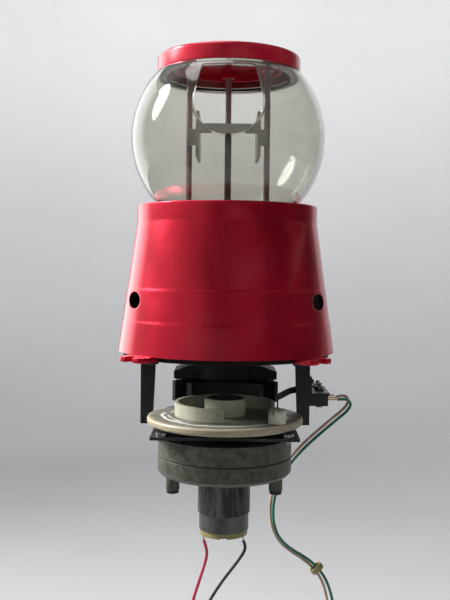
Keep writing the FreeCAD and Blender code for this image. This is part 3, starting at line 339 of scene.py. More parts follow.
# Finishes: one look for each material slot that has no look of its own further down
slotLooks = dict(
    rod_steel=dict(tones=((0.22, 0.155, 0.15), (0.36, 0.27, 0.26)), metal=0.25, rough=(0.30, 0.48),
                   stretch=(1, 1, 0.08), patch=260, stain=((0.07, 0.045, 0.035), 220, 0.7)),
    dark_plate=dict(tones=((0.006, 0.0065, 0.005), (0.016, 0.017, 0.014)), rough=(0.34, 0.6), patch=140,
                    stain=((0.035, 0.034, 0.028), 420, 0.45)),
    zinc_screw=dict(tones=((0.22, 0.22, 0.21), (0.46, 0.45, 0.43)), metal=1.0, rough=(0.18, 0.36), patch=500,
                    stain=((0.07, 0.06, 0.045), 600, 0.7)),
    white_plastic=dict(tones=((0.34, 0.335, 0.295), (0.46, 0.455, 0.41)), rough=(0.32, 0.55), patch=70,
                       stain=((0.22, 0.21, 0.17), 90, 0.5)),
    black_plastic=dict(tones=((0.006, 0.006, 0.006), (0.014, 0.014, 0.013)), rough=(0.38, 0.62), patch=110,
                       stain=((0.035, 0.034, 0.028), 170, 0.45)),
    shaft_steel=dict(tones=((0.32, 0.32, 0.31), (0.48, 0.48, 0.46)), metal=1.0, rough=(0.20, 0.34), patch=400,
                     stretch=(1, 1, 0.3)),
    black_steel=dict(tones=((0.005, 0.005, 0.0045), (0.012, 0.012, 0.011)), rough=(0.30, 0.52), patch=180,
                     stain=((0.035, 0.035, 0.030), 380, 0.35)),
    cast_zinc=dict(tones=((0.034, 0.038, 0.026), (0.100, 0.106, 0.082)), metal=0.45, rough=(0.34, 0.60), patch=300,
                   grain=1500, bump=0.55, depth=0.16, stain=((0.020, 0.022, 0.014), 210, 0.7)),
    gasket=dict(tones=((0.012, 0.012, 0.010), (0.03, 0.03, 0.026)), rough=(0.6, 0.85), patch=300),
    bronze=dict(tones=((0.34, 0.19, 0.06), (0.55, 0.33, 0.13)), metal=1.0, rough=(0.22, 0.42), patch=380,
                stain=((0.20, 0.07, 0.02), 500, 0.7)),
    iron=dict(tones=((0.06, 0.058, 0.055), (0.14, 0.135, 0.13)), metal=0.8, rough=(0.4, 0.6), patch=240),
    copper=dict(tones=((0.42, 0.13, 0.06), (0.62, 0.24, 0.12)), metal=1.0, rough=(0.24, 0.4), patch=320,
                stretch=(1, 1, 4)),
    motor_steel=dict(tones=((0.062, 0.068, 0.060), (0.125, 0.135, 0.12)), metal=0.8, rough=(0.3, 0.5), patch=190,
                     stretch=(1, 1, 0.25), stain=((0.045, 0.047, 0.042), 210, 0.7)),
    cap_plastic=dict(tones=((0.17, 0.14, 0.048), (0.28, 0.245, 0.10)), rough=(0.35, 0.55), patch=240,
                     stain=((0.08, 0.065, 0.025), 330, 0.5)),
    switch_plastic=dict(tones=((0.008, 0.008, 0.008), (0.018, 0.018, 0.017)), rough=(0.32, 0.5), patch=240,
                        stain=((0.04, 0.04, 0.036), 420, 0.35)),
    plug_plastic=dict(tones=((0.52, 0.50, 0.44), (0.66, 0.64, 0.57)), rough=(0.3, 0.5), patch=200,
                      stain=((0.35, 0.32, 0.25), 260, 0.4)),
)
slotFinish = {slot: finish(slot + "Finish", look) for slot, look in slotLooks.items()}

# Red: tinted gloss over a slightly wavy moulding, hazed where it has been handled
redLook = values(
    tones=((0.42, 0.003, 0.018), (0.54, 0.004, 0.026), (0.64, 0.006, 0.034)), toneEnds=(0.28, 0.5, 0.72), ior=1.5,
    coat=0.4, coatRough=0.06, metal=0.7, lidMetal=0.25, broad=(26, 4, 0.55), rough=(0.14, 0.26),
    roughEnds=(0.3, 0.75), fine=(900, 4, 0.6, (1, 1, 1), (2, 5, 1)), fineRough=0.03, fineHeight=0.004,
    scuff=(0.50, 0.03, 0.045), scuffs=(90, 5, 0.65, (1, 1, 4), (1, 0, 3)), scuffEnds=(0.60, 0.76), scuffShare=0.4,
    scuffRough=0.12, swell=(34, 2, 0.4, (1, 1, 1), (0, 4, 0)), bump=0.5, depth=1.0, lidWaves=0.10,
    housingWaves=0.35, plungerWaves=0.05)


def redGloss(name, waves, metal=redLook.metal):
    look = redLook
    material, shader = newMaterial(name, {"Metallic": metal, "IOR": look.ior, "Coat Weight": look.coat,
                                          "Coat Roughness": look.coatRough})
    broad, fine, swell = [noise(shader, *kind) for kind in (look.broad, look.fine, look.swell)]
    scuffs = spread(noise(shader, *look.scuffs), look.scuffEnds, (0.0, look.scuffShare))
    colour = blend(scuffs, ramp(broad, look.toneEnds, look.tones), look.scuff)
    haze = plus(spread(broad, look.roughEnds, look.rough), times(fine, look.fineRough))
    haze = plus(haze, times(scuffs, look.scuffRough))
    surface(shader, look, colour, haze, plus(times(swell, waves), times(fine, look.fineHeight)))
    return material


# Clear plastic: lightly smoked, with cloudy patches and fine scuffs
clearLook = values(
    tint=(0.80, 0.80, 0.745), ior=1.49, cloud=(22, 5, 0.6, (1, 1, 1), (0.3, 0.2, 0.1)), through=(1.0, 0.90),
    throughEnds=(0.46, 0.78), scuffs=(420, 6, 0.7, (1, 1, 3)), wornCloud=((0.35, 0.8), (0.2, 1.0)),
    wornScuffs=((0.45, 0.75), (0.1, 1.0)), rough=(0.0, 0.08), ripple=(55, 2, 0.4), bump=0.06, depth=0.4)


def smokedClear(name):
    look = clearLook
    material, shader = newMaterial(name, {"IOR": look.ior})
    cloud, scuffs, ripple = [noise(shader, *kind) for kind in (look.cloud, look.scuffs, look.ripple)]
    feed(shader, "Transmission Weight", spread(cloud, look.throughEnds, look.through))
    worn = times(spread(cloud, *look.wornCloud), spread(scuffs, *look.wornScuffs))
    surface(shader, look, look.tint, spread(worn, (0.0, 1.0), look.rough), ripple)
    return material


# Drive disc: cream edge, darker grey-brown top with bright rubbed arcs outside the ring, dark grease on the hub.
# Levels are heights and reaches are distances from the axis, all in metres
discLook = values(
    axis=(0.0, -0.0225), ior=1.5, broad=(110, 5, 0.6), fine=(700, 4, 0.6, (1, 1, 1), (1, 2, 3)),
    topTones=((0.065, 0.062, 0.046), (0.165, 0.158, 0.120)), topEnds=(0.35, 0.68), topLevels=(-0.0274, -0.0267),
    arcs=(0.0262, 0.0292), arcFade=(0.0003, 0.0010), arcWander=0.004, arcBreaks=(60, 2, 0.5), arcShift=400,
    breakEnds=(0.42, 0.58), rubbed=(0.70, 0.69, 0.62), edgeTones=((0.2475, 0.21, 0.1425), (0.33, 0.28, 0.19)),
    edgeEnds=(0.3, 0.7), rimReach=(0.0350, 0.0372), rimWander=0.003, rimShare=0.85,
    ringTones=((0.2448, 0.2412, 0.18), (0.34, 0.335, 0.25)), ringEnds=(0.3, 0.62), ringLevels=(-0.0263, -0.0257),
    grease=(0.020, 0.020, 0.013), hubLevels=(-0.0198, -0.0188), hubReach=(0.0098, 0.0122), hubWander=0.004,
    greaseGloss=0.3, rough=(0.22, 0.6), roughEnds=(0.1, 0.75), fineHeight=0.4, bump=0.3, depth=0.12)


def rubbedIvory(name):
    look = discLook
    material, shader = newMaterial(name, {"IOR": look.ior})
    away, z = distanceFrom(shader, *look.axis), height(shader)
    broad, fine = noise(shader, *look.broad), noise(shader, *look.fine)
    top = ramp(broad, look.topEnds, look.topTones)
    wandering = plus(away, times(math2("SUBTRACT", broad, 0.5), look.arcWander))
    for at in look.arcs:
        # a thin band at this distance, broken up along its length
        off = math2("ABSOLUTE", math2("SUBTRACT", wandering, at))
        breaks = noise(shader, *look.arcBreaks, (1, 1, 1), (at * look.arcShift, 0, 0))
        band = times(spread(off, look.arcFade, (1.0, 0.0)), spread(breaks, look.breakEnds))
        top = blend(band, top, look.rubbed)
    # a paler band round the top's outer edge, blended to the edge's cream: painted highlight on the disc's rim
    rim = spread(plus(away, times(broad, look.rimWander)), look.rimReach, (0.0, look.rimShare))
    top = blend(rim, top, look.edgeTones[1])
    edge, ring = ramp(fine, look.edgeEnds, look.edgeTones), ramp(broad, look.ringEnds, look.ringTones)
    colour = blend(spread(z, look.ringLevels), blend(spread(z, look.topLevels), edge, top), ring)
    reach = plus(away, times(broad, look.hubWander))
    hub = times(spread(z, look.hubLevels), spread(reach, look.hubReach, (1.0, 0.0)))
    gloss = spread(math2("SUBTRACT", broad, times(hub, look.greaseGloss)), look.roughEnds, look.rough)
    surface(shader, look, blend(hub, colour, look.grease), gloss, plus(broad, times(fine, look.fineHeight)))
    return material


# Drive pin: pale, with grease on its top that has run down one side
pinLook = values(
    tones=((0.40, 0.385, 0.30), (0.52, 0.51, 0.41)), toneEnds=(0.3, 0.66), ior=1.5, broad=(260, 4, 0.6),
    run=(330, 2, 0.4, (1, 1, 0.1), (0.002, 0.001, 0)), runEnds=(0.5, 0.7), runLength=0.004, wander=0.0012,
    grease=(0.06, 0.05, 0.028), greaseLevels=(-0.0206, -0.0182), greaseShare=0.85, rough=(0.3, 0.55),
    roughEnds=(0.3, 0.7), bump=0.2, depth=0.1)


def greasyPin(name):
    look = pinLook
    material, shader = newMaterial(name, {"IOR": look.ior})
    broad = noise(shader, *look.broad)
    run = spread(noise(shader, *look.run), look.runEnds, (0.0, look.runLength))
    reach = plus(height(shader), plus(run, times(broad, look.wander)))
    greased = spread(reach, look.greaseLevels, (0.0, look.greaseShare))
    colour = blend(greased, ramp(broad, look.toneEnds, look.tones), look.grease)
    surface(shader, look, colour, spread(broad, look.roughEnds, look.rough), broad)
    return material


# Flux ring: rolled steel with dark upright streaks
fluxLook = values(
    tones=((0.012, 0.014, 0.012), (0.044, 0.048, 0.044), (0.13, 0.138, 0.125)), toneEnds=(0.36, 0.48, 0.62),
    metal=0.85, streak=(170, 4, 0.6, (1, 1, 0.16)), streakShare=0.8, fine=(900, 3, 0.6, (1, 1, 0.05)),
    fineShare=0.2, rough=(0.52, 0.3), roughEnds=(0.3, 0.7), bump=0.15, depth=0.05)


def streakedSteel(name):
    look = fluxLook
    material, shader = newMaterial(name, {"Metallic": look.metal})
    streak, fine = noise(shader, *look.streak), noise(shader, *look.fine)
    mixed = plus(times(streak, look.streakShare), times(fine, look.fineShare))
    colour = ramp(mixed, look.toneEnds, look.tones)
    surface(shader, look, colour, spread(mixed, look.roughEnds, look.rough), fine)
    return material


# Pale floor that rises all round into a plain backdrop, in millimetres, with the blend of their tones in metres.
# The floor's darker grey is painted shade
stageShape = values(
    floor=-236.0, flat=900.0, edge=3200.0, rise=2600.0, rows=40, segments=96,
    floorTones=((0.42, 0.42, 0.425), (0.46, 0.46, 0.465)), wallTones=((0.78, 0.78, 0.79), (0.82, 0.82, 0.825)),
    toneEnds=(0.3, 0.7), mottle=(3.0, 3, 0.55), blend=(0.6, 1.7), rough=0.9)


def addStage():
    # z = floor + rise * share * share * (3 - 2 share), where share runs from 0 at the flat's edge to 1 at the rim
    s = stageShape
    share = np.linspace(0, 1, s.rows)
    radius = s.flat + (s.edge - s.flat) * share
    z = s.floor + s.rise * share ** 2 * (3 - 2 * share)
    profile = np.concatenate([[[0, s.floor]], np.stack([radius, z], 1)])
    points, quads = spun(profile, s.segments, closed=False)
    mesh = bpy.data.meshes.new("paleFloor")
    mesh.from_pydata((points * mm).tolist(), [], quads[:, ::-1].tolist())
    weld(mesh)
    material, shader = newMaterial("palePaint", {"Roughness": s.rough})
    mottle = noise(shader, *s.mottle)
    # the floor's tones are painted shade, darker than the backdrop's
    floorShadeTone, wallTone = [ramp(mottle, s.toneEnds, tones) for tones in (s.floorTones, s.wallTones)]
    rising = spread(distanceFrom(shader, 0, 0), s.blend)
    feed(shader, "Base Color", blend(rising, floorShadeTone, wallTone))
    mesh.materials.append(material)
    added("paleFloor", mesh)


addStage()

# Soft light: a window-like panel high on the left, light from above, a weak fill and one panel for the backdrop
lightPanels = dict(
    keyPanel=values(place=(-1.16, 0.20, 0.74), size=(0.40, 0.66), watts=6.5, spreadDeg=60, aim=(0, 0, 0.03)),
    topPanel=values(place=(-0.35, -0.10, 1.35), size=(0.9, 0.9), watts=2.6, spreadDeg=120, aim=(0, 0, 0.03)),
    fillPanel=values(place=(0.35, -1.35, 0.45), size=(0.8, 0.8), watts=0.3, spreadDeg=60, aim=(0, 0, 0.0)),
    backPanel=values(place=(0.0, 0.7, 1.5), size=(2.0, 0.6), watts=13.0, spreadDeg=150, aim=(0.0, 3.0, -0.3)),
)
worldLook = values(colour=(0.93, 0.96, 1.0), strength=0.23)
# A curved card that only the glossy surfaces see: a window at the left, a wall and a dim room in front.
# Turns are in degrees from the front, positive to the right, and each has its own glow and depth of blotches
roomCard = values(
    radius=1.1, heights=(-0.45, 0.85), stepDeg=2.0, turnsDeg=(-156, -146, -122, -110, -64, -34, -8, 40, 118, 134),
    glow=(0.2, 2.6, 2.6, 0.60, 0.44, 0.30, 0.015, 0.008, 0.015, 0.20),
    blotch=(0.0, 0.0, 0.0, 0.10, 0.25, 0.35, 0.34, 0.38, 0.34, 0.0), blotches=(2.0, 3, 0.5, (0.6, 0.6, 5)),
    blotchEnds=(0.50, 0.66), paint=(0.01, 0.01, 0.01), light=(1, 0.98, 0.97), rough=1.0)


def aimed(spot, aim):
    # columns are right, up and back, with back pointing from the aim to the spot
    back = np.array(spot) - aim
    back /= np.linalg.norm(back)
    right = np.cross([0, 0, 1], back)
    right /= np.linalg.norm(right)
    return Matrix((*np.column_stack([right, np.cross(back, right), back, spot]).tolist(), (0, 0, 0, 1)))


def addRoomCard():
    # x = radius sin(turn), y = -radius cos(turn), z between the two heights
    card = roomCard
    turnsDeg = np.arange(card.turnsDeg[0], card.turnsDeg[-1] + 1, card.stepDeg)
    turn, z = np.meshgrid(np.radians(turnsDeg), card.heights)
    grid = np.stack([card.radius * np.sin(turn), -card.radius * np.cos(turn), z], -1)
    mesh = bpy.data.meshes.new("roomCard")
    mesh.from_pydata(grid.reshape(-1, 3).tolist(), [], gridQuads(2, len(turnsDeg)).tolist())
    material, shader = newMaterial("roomCard", {"Base Color": card.paint, "Roughness": card.rough,
                                                "Emission Color": card.light})
    levels = {}
    for level in ("glow", "blotch"):
        numbers = np.tile(np.interp(turnsDeg, card.turnsDeg, card[level]), 2)
        mesh.attributes.new(level, "FLOAT", "POINT").data.foreach_set("value", numbers.astype(np.float32))
        source = newNode(shader, "Attribute")
        source.attribute_name = level
        levels[level] = source.outputs["Fac"]
    patches = times(spread(noise(shader, *card.blotches), card.blotchEnds), levels["blotch"])
    feed(shader, "Emission Strength", plus(patches, levels["glow"]))
    mesh.materials.append(material)
    piece = added("roomCard", mesh)
    piece.visible_camera = piece.visible_diffuse = False
    piece.visible_transmission = piece.visible_shadow = False


def addLights():
    for name, panel in lightPanels.items():
        data = bpy.data.lights.new(name, "AREA")
        data.shape = "ELLIPSE"
        data.size, data.size_y = panel.size
        data.energy = panel.watts
        data.spread = math.radians(panel.spreadDeg)
        added(name, data).matrix_world = aimed(panel.place, panel.aim)
    addRoomCard()
    world = bpy.data.worlds.new("paleRoom")
    world.use_nodes = True
    background = world.node_tree.nodes["Background"]
    feed(background, "Color", worldLook.colour)
    feed(background, "Strength", worldLook.strength)
    bpy.context.scene.world = world
    bpy.context.scene.view_settings.view_transform = "Standard"


addLights()
print("camera, stage and light set")

# Leads: routes in millimetres from terminal to plug, lengths and diameter in metres. The routes are the solids'
# own, but the upper part of the last two leaves the solids by up to 5 to follow the photograph
leadRoutes = dict(
    red_lead=[(-9.3, -22.5, -85.7), (-8.3, -22.7, -88.6), (-7.6, -23, -92), (-8.8, -23.2, -97.5),
              (-11.6, -23.3, -106), (-14.8, -23.2, -117), (-17.6, -23, -130), (-19.4, -22.7, -144),
              (-20.2, -22.5, -157), (-20.4, -22.5, -166), (-20.3, -22.5, -172)],
    black_lead=[(9.3, -22.5, -85.7), (10.2, -22.6, -87.6), (10.2, -22.8, -90.2), (8.2, -23, -93.6),
                (4.4, -23.2, -98.6), (-1.4, -23.3, -106.4), (-7.4, -23.2, -116.4), (-12.2, -23, -128),
                (-15.2, -22.7, -141), (-16.6, -22.5, -154), (-17, -22.5, -165), (-16.9, -22.5, -172)],
    green_lead=[(57.2, 10.6, -23.6), (60.2, 10.8, -23.3), (63, 11.2, -24.2), (64, 11.7, -26.8), (62, 12.1, -30),
                (56.6, 12.3, -34.6), (49, 12.4, -41.2), (41, 12.4, -48.6), (34.4, 12.4, -56), (29.2, 12.3, -64),
                (26.2, 12.2, -72.6), (25, 12.2, -81.2), (25.8, 12.2, -89.6), (29.2, 12.2, -96.6),
                (35, 12.2, -101.4), (42, 12.2, -105.2), (48.6, 12.2, -110.4), (53.4, 12.2, -117.6),
                (56.4, 12.3, -127), (58.2, 12.4, -140), (59, 12.5, -156), (59.1, 12.5, -172), (58.7, 12.5, -186),
                (58.5, 12.5, -196)],
    tan_lead=[(57.2, 18.3, -23.6), (60.2, 17.6, -22.5), (62.6, 16, -23), (63.2, 14.6, -25.6), (60.6, 13.8, -29),
              (55.2, 13.5, -33.4), (47.6, 13.4, -40), (39.6, 13.5, -47.4), (33, 13.7, -55), (27.8, 14, -63.2),
              (24.7, 14.2, -72), (23.6, 14.4, -81.2), (24.6, 14.4, -90.2), (28.4, 14.4, -97.8),
              (34.4, 14.3, -102.8), (41.2, 14.3, -107), (47.4, 14.3, -112.2), (51.6, 14.3, -119.2),
              (54, 14, -128.4), (55, 13.4, -141), (55.2, 12.8, -156.6), (55, 12.5, -172), (54.9, 12.5, -186),
              (55.1, 12.5, -196)],
)
leadLooks = dict(
    red_lead=values(tones=((0.36, 0.02, 0.06), (0.50, 0.05, 0.10)), length=0.0880),
    black_lead=values(tones=((0.012, 0.011, 0.013), (0.035, 0.032, 0.036)), length=0.0932),
    green_lead=values(tones=((0.010, 0.085, 0.045), (0.025, 0.17, 0.095)), length=0.2055),
    tan_lead=values(tones=((0.33, 0.21, 0.15), (0.46, 0.34, 0.25)), length=0.2062),
)
sleeveLook = dict(patch=160, grain=2600, rough=(0.28, 0.5), bump=0.12)
leadTube = values(diameter=0.0015, roundness=4, steps=8, order=3)


def addLead(node):
    # one smooth spline with the route's points as its control points
    curve = bpy.data.curves.new(node + "_wire", "CURVE")
    curve.dimensions = "3D"
    curve.bevel_depth = leadTube.diameter / 2
    curve.bevel_resolution = leadTube.roundness
    curve.use_fill_caps = True
    curve.resolution_u = leadTube.steps
    spline = curve.splines.new("NURBS")
    route = np.array(leadRoutes[node]) * mm
    spline.points.add(len(route) - 1)
    spline.points.foreach_set("co", np.column_stack([route, np.ones(len(route))]).ravel())
    spline.order_u = leadTube.order
    spline.use_endpoint_u = True
    curve.materials.append(finish(node + "Sleeve", dict(sleeveLook, tones=leadLooks[node].tones)))
    wire = added(node + "_wire", curve)
    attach(wire, "base")
    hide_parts(node)


# each pair of leads with the pieces that hang on it, which have their edges broken by this many millimetres
leadPairs = {("red_lead", "black_lead"): ("motor_plug",), ("green_lead", "tan_lead"): ("switch_plug", "lead_tie")}
carriedEdge = 0.3
for leadNames, carriedNodes in leadPairs.items():
    carriedPieces = [dressed(node, slotFinish[slotOf[node]], carriedEdge) for node in carriedNodes]
    for leadName in leadNames:
        addLead(leadName)
print("leads laid")


# Walls with openings: a grid that leaves out some cells, and a ring of quads from each gap in to the opening's edge
def gridWithout(rows, cols, gaps):
    kept = np.ones((rows - 1, cols), bool)
    for lowRow, highRow, lowCol, highCol in gaps:
        kept[lowRow:highRow, lowCol:highCol] = False
    return gridQuads(rows, cols, False, True)[kept.ravel()]


def gapLoop(lowRow, highRow, lowCol, highCol):
    # once round the gap: along its low row, up, back along its high row and down
    cols, rows = np.arange(lowCol, highCol), np.arange(lowRow, highRow)
    row = np.concatenate([cols * 0 + lowRow, rows, cols * 0 + highRow, rows[::-1] + 1])
    col = np.concatenate([cols, rows * 0 + highCol, cols[::-1] + 1, rows * 0 + lowCol])
    return row, col


def ringPatch(outside, inside, rows):
    # share runs from 0 on the outside loop to 1 on the inside loop: outside * (1 - share) + inside * share
    share = np.linspace(0, 1, rows)[:, None, None]
    return outside * (1 - share) + inside * share


def flatRing(grid):
    rows, cols = grid.shape[:2]
    return grid.reshape(-1, 3), gridQuads(rows, cols, False, True)


# Lid: flat cap with a rounded edge, an inner ring and three rod sockets under it
lidShape = values(
    radius=34.7, base=136.2, top=144.0, wall=1.8, round=1.6, ringRadius=27.0, ringWall=1.6, ringDrop=4.0,
    socketRadius=3.3, boreRadius=1.55, socketAt=19.0, topFrom=2.0, topInset=0.5, topRows=6, segments=192,
    socketSegments=36)


def lidSurface():
    # (radius, z) once round the section, from the middle of the top to the middle of the underside
    s = lidShape
    under, inside = s.top - s.wall, s.radius - s.wall
    ringIn, drop = s.ringRadius - s.ringWall, under - s.ringDrop
    section = rounded([(0, s.top, 0), (s.radius, s.top, s.round), (s.radius, s.base, 0.5), (inside, s.base, 0.3),
                       (inside, under, 0.6), (s.ringRadius, under, 0.5), (s.ringRadius, drop, 0.3),
                       (ringIn, drop, 0.3), (ringIn, under, 0.5), (0, under, 0)], 7)
    # more rows on the flat top, from near its middle to near its rounded edge
    flat = np.linspace([s.radius - s.round - s.topInset, s.top], [s.topFrom, s.top], s.topRows)
    section = np.concatenate([section[:1], flat[::-1], section[1:]])
    # the sockets start inside the lid's wall, so they have no open end
    root = under + s.wall / 2
    socket = rounded([(s.boreRadius, root, 0), (s.boreRadius, drop, 0.2), (s.socketRadius, drop, 0.3),
                      (s.socketRadius, root, 0)], 4)
    reach = s.socketAt
    sockets = [spun(socket, s.socketSegments, centre) for centre in ((-reach, 0), (reach, 0), (0, reach))]
    return joined(spun(section, s.segments, closed=False), *sockets)


# Globe: a ball between two radii with a neck at each end, and the ball entry cut straight through its front
globeShape = values(
    radius=47.0, wall=2.2, middle=105.0, footRadius=34.0, footBase=66.0, shoulder=136.0, neckRadius=32.6,
    neckTop=142.0, columns=160, lowRows=26, gapRows=26, gapHalf=11, gapLow=96.5, edge=0.45, edgeSteps=5,
    patchRows=9)
entryShape = values(
    radius=15.3, middle=116.0, riseDeg=12.0, topHalf=11.6, top=133.0, round=1.2, arcSteps=240, roundSteps=9,
    edgeSteps=12)


def entryOutline(angle, offset):
    # distance from (0, middle) to the entry's edge at each angle, with offset added
    s = entryShape
    turn = np.radians(np.linspace(s.riseDeg, -180 - s.riseDeg, s.arcSteps))
    arc = np.stack([s.radius * np.cos(turn), s.middle + s.radius * np.sin(turn)], 1)
    top = rounded([(*arc[-1], 0), (-s.topHalf, s.top, s.round), (s.topHalf, s.top, s.round),
                   (*arc[0], 0)], s.roundSteps)
    corners = np.concatenate([arc, top])
    steps = np.linspace(0, 1, s.edgeSteps)[:-1, None, None]
    edge = (corners * (1 - steps) + np.roll(corners, -1, 0) * steps).transpose(1, 0, 2).reshape(-1, 2)
    away = edge - [0, s.middle]
    at = np.arctan2(away[:, 1], away[:, 0])
    order = np.argsort(at)
    reach = np.interp(angle, at[order], np.hypot(away[order, 0], away[order, 1]), period=2 * np.pi) + offset
    return np.stack([reach * np.cos(angle), s.middle + reach * np.sin(angle)], 1)


def globeFront(radius, flat):
    # (x, z) on the front of the ball: y = -sqrt(radius^2 - x^2 - (z - middle)^2)
    x, z = flat[..., 0], flat[..., 1]
    return np.stack([x, -np.sqrt(radius ** 2 - x ** 2 - (z - globeShape.middle) ** 2), z], -1)


def ballWall(radius, lowZ, highZ):
    # latitude up the rows and turn along the columns, with the gap round the ball entry left open
    s = globeShape
    bend = np.arcsin((np.array([lowZ, s.gapLow, highZ]) - s.middle) / radius)
    latitude = np.concatenate([np.linspace(bend[0], bend[1], s.lowRows)[:-1],
                               np.linspace(bend[1], bend[2], s.gapRows + 1)])
    turn = np.pi / 2 + np.arange(s.columns) * 2 * np.pi / s.columns
    around, up = np.meshgrid(turn, latitude)
    grid = np.stack([radius * np.cos(up) * np.cos(around), radius * np.cos(up) * np.sin(around),
                     s.middle + radius * np.sin(up)], -1)
    front = s.columns // 2
    gap = (s.lowRows - 1, len(latitude) - 1, front - s.gapHalf, front + s.gapHalf)
    row, col = gapLoop(*gap)
    quads = gridWithout(len(latitude), s.columns, [gap])
    return (grid.reshape(-1, 3), quads), grid[row, col][:, [0, 2]]


def globeSurface():
    s = globeShape
    radius, inner, middle = s.radius, s.radius - s.wall, s.middle
    footIn, neckIn, stepZ = s.footRadius - s.wall, s.neckRadius - s.wall, s.shoulder - s.wall
    lowZ = middle - math.sqrt(radius ** 2 - s.footRadius ** 2)
    lowInZ = middle - math.sqrt(inner ** 2 - footIn ** 2)
    outer, outerLoop = ballWall(radius, lowZ, s.shoulder)
    inside, innerLoop = ballWall(inner, lowInZ, stepZ)
    away = outerLoop - [0, entryShape.middle]
    angle = np.arctan2(away[:, 1], away[:, 0])
    rim = entryOutline(angle, s.edge)
    turn = np.radians(np.linspace(0, 90, s.edgeSteps))
    # the entry's edge is rounded: offset = edge (1 - sin turn), depth = edge (1 - cos turn), from both faces
    lips = [(entryOutline(angle, s.edge * (1 - np.sin(t))), s.edge * (1 - np.cos(t))) for t in turn]
    rows = [*globeFront(radius, ringPatch(outerLoop, rim, s.patchRows)),
            *[globeFront(radius, flat) + [0, depth, 0] for flat, depth in lips[1:]],
            *[globeFront(inner, flat) - [0, depth, 0] for flat, depth in lips[:0:-1]],
            *globeFront(inner, ringPatch(innerLoop, rim, s.patchRows))[::-1]]
    stepOut = math.sqrt(radius ** 2 - (s.shoulder - middle) ** 2)
    stepIn = math.sqrt(inner ** 2 - (stepZ - middle) ** 2)
    neck = rounded([(stepOut, s.shoulder, 0), (s.neckRadius, s.shoulder, 0.4), (s.neckRadius, s.neckTop, 0.5),
                    (neckIn, s.neckTop, 0.5), (neckIn, stepZ, 0.4), (stepIn, stepZ, 0)], 5)
    foot = rounded([(s.footRadius, lowZ, 0), (s.footRadius, s.footBase, 0.4), (footIn, s.footBase, 0.4),
                    (footIn, lowInZ, 0)], 5)
    return joined(outer, inside, flatRing(np.stack(rows)), spun(neck, s.columns, closed=False),
                  spun(foot, s.columns, closed=False))


# Housing: stepped cone with a lip, four notched tabs, two drilled side holes and the ball exit at the back
housingShape = values(
    topRadius=43.9, footRadius=52.8, top=72.3, collarBase=64.0, coneBase=2.4, base=2.2, wall=2.2,
    bands=(32.3, 17.3), bandStep=0.35, bandSlope=0.6, lipRadius=36.4, lipBase=70.3, lipDrop=0.6, columns=144,
    exitColumns=14, exitHalf=15.1, exitTop=33.2, wallTop=70.8)
# rows of the wall's grid: heights and counts, with close rows at these steps from each band and the collar's edge
housingRows = values(
    footTop=15.2, foot=8, hole=10, cone=(36.0, 60.5, 15), topFrom=66.0, top=5,
    bandSteps=(-1.2, -0.6, -0.2, 0.2, 0.6, 1.2), collarSteps=(-1.4, -0.6, 0, 0.6), slack=1e-3)
sideHoles = values(
    radius=3.9, height=27.0, placeDeg=60.0, drillDeg=10.0, gapHalf=4, gap=(20.5, 31.7), edge=0.35, edgeSteps=4,
    patchRows=6)
tabShape = values(
    turnsDeg=(45, 135, 225, 315), inside=50.0, outside=61.0, half=7.5, thick=2.4, corner=2.4, notchHalf=2.8,
    notchDeep=4.4, edge=0.35, prongColumns=4, cornerColumns=6, cornerFromDeg=15, notchColumns=17)
bossShape = values(radius=4.2, ring=47.0, turnsDeg=(315, 225, 24, 156), low=2.2, high=14.2, segments=32)


def wallRadius(z):
    # straight cone from the collar to the foot, with a small step outwards at each band
    s = housingShape
    slope = (s.footRadius - s.topRadius) / (s.collarBase - s.coneBase)
    knots = [(s.base, s.footRadius)]
    for band in s.bands[::-1]:
        cone = s.topRadius + slope * (s.collarBase - band)
        knots += [(band - s.bandSlope, cone + s.bandStep / 2), (band + s.bandSlope, cone - s.bandStep / 2)]
    knots += [(s.collarBase, s.topRadius), (s.top, s.topRadius)]
    at, radius = np.array(knots).T
    return np.interp(z, at, radius)


def wallTurns(radius):
    # columns over the exit are evenly spaced in x, so their outer two stand on its straight sides
    s = housingShape
    x = s.exitHalf * (1 - 2 * np.arange(s.exitColumns + 1) / s.exitColumns)
    exitTurn = np.pi / 2 - np.arcsin(x / radius[:, None])
    rest = np.linspace(0, 1, s.columns - s.exitColumns + 1)[None, 1:-1]
    first, last = exitTurn[:, :1], exitTurn[:, -1:]
    return np.concatenate([exitTurn, last + (first + 2 * np.pi - last) * rest], 1)


def drilledEdge(side, angle, drill, inset, depth):
    # a point on the drill's side meets the wall where |base + way * t| = wall radius; depth pulls it back along way
    s = sideHoles
    spot, along = math.radians(270 + side * s.placeDeg), math.radians(s.drillDeg)
    way = np.array([side * math.sin(along), -math.cos(along)])
    across = np.array([-way[1], way[0]])
    centre = wallRadius(s.height) * np.array([math.cos(spot), math.sin(spot)])
    base = centre + np.outer(drill * np.cos(angle), across)
    z = s.height + drill * np.sin(angle)
    forward = base @ way
    t = -forward + np.sqrt(forward ** 2 - (base ** 2).sum(1) + (wallRadius(z) - inset) ** 2) - depth
    return np.column_stack([base + t[:, None] * way, z])


def turnHeight(points, near):
    # (x, y, z) as (turn, z), with the turn kept within half a turn of near
    turn = np.arctan2(points[..., 1], points[..., 0])
    return np.stack([near + (turn - near + np.pi) % (2 * np.pi) - np.pi, points[..., 2]], -1)


def onWall(flat, inset):
    radius = wallRadius(flat[..., 1]) - inset
    return np.stack([radius * np.cos(flat[..., 0]), radius * np.sin(flat[..., 0]), flat[..., 1]], -1)


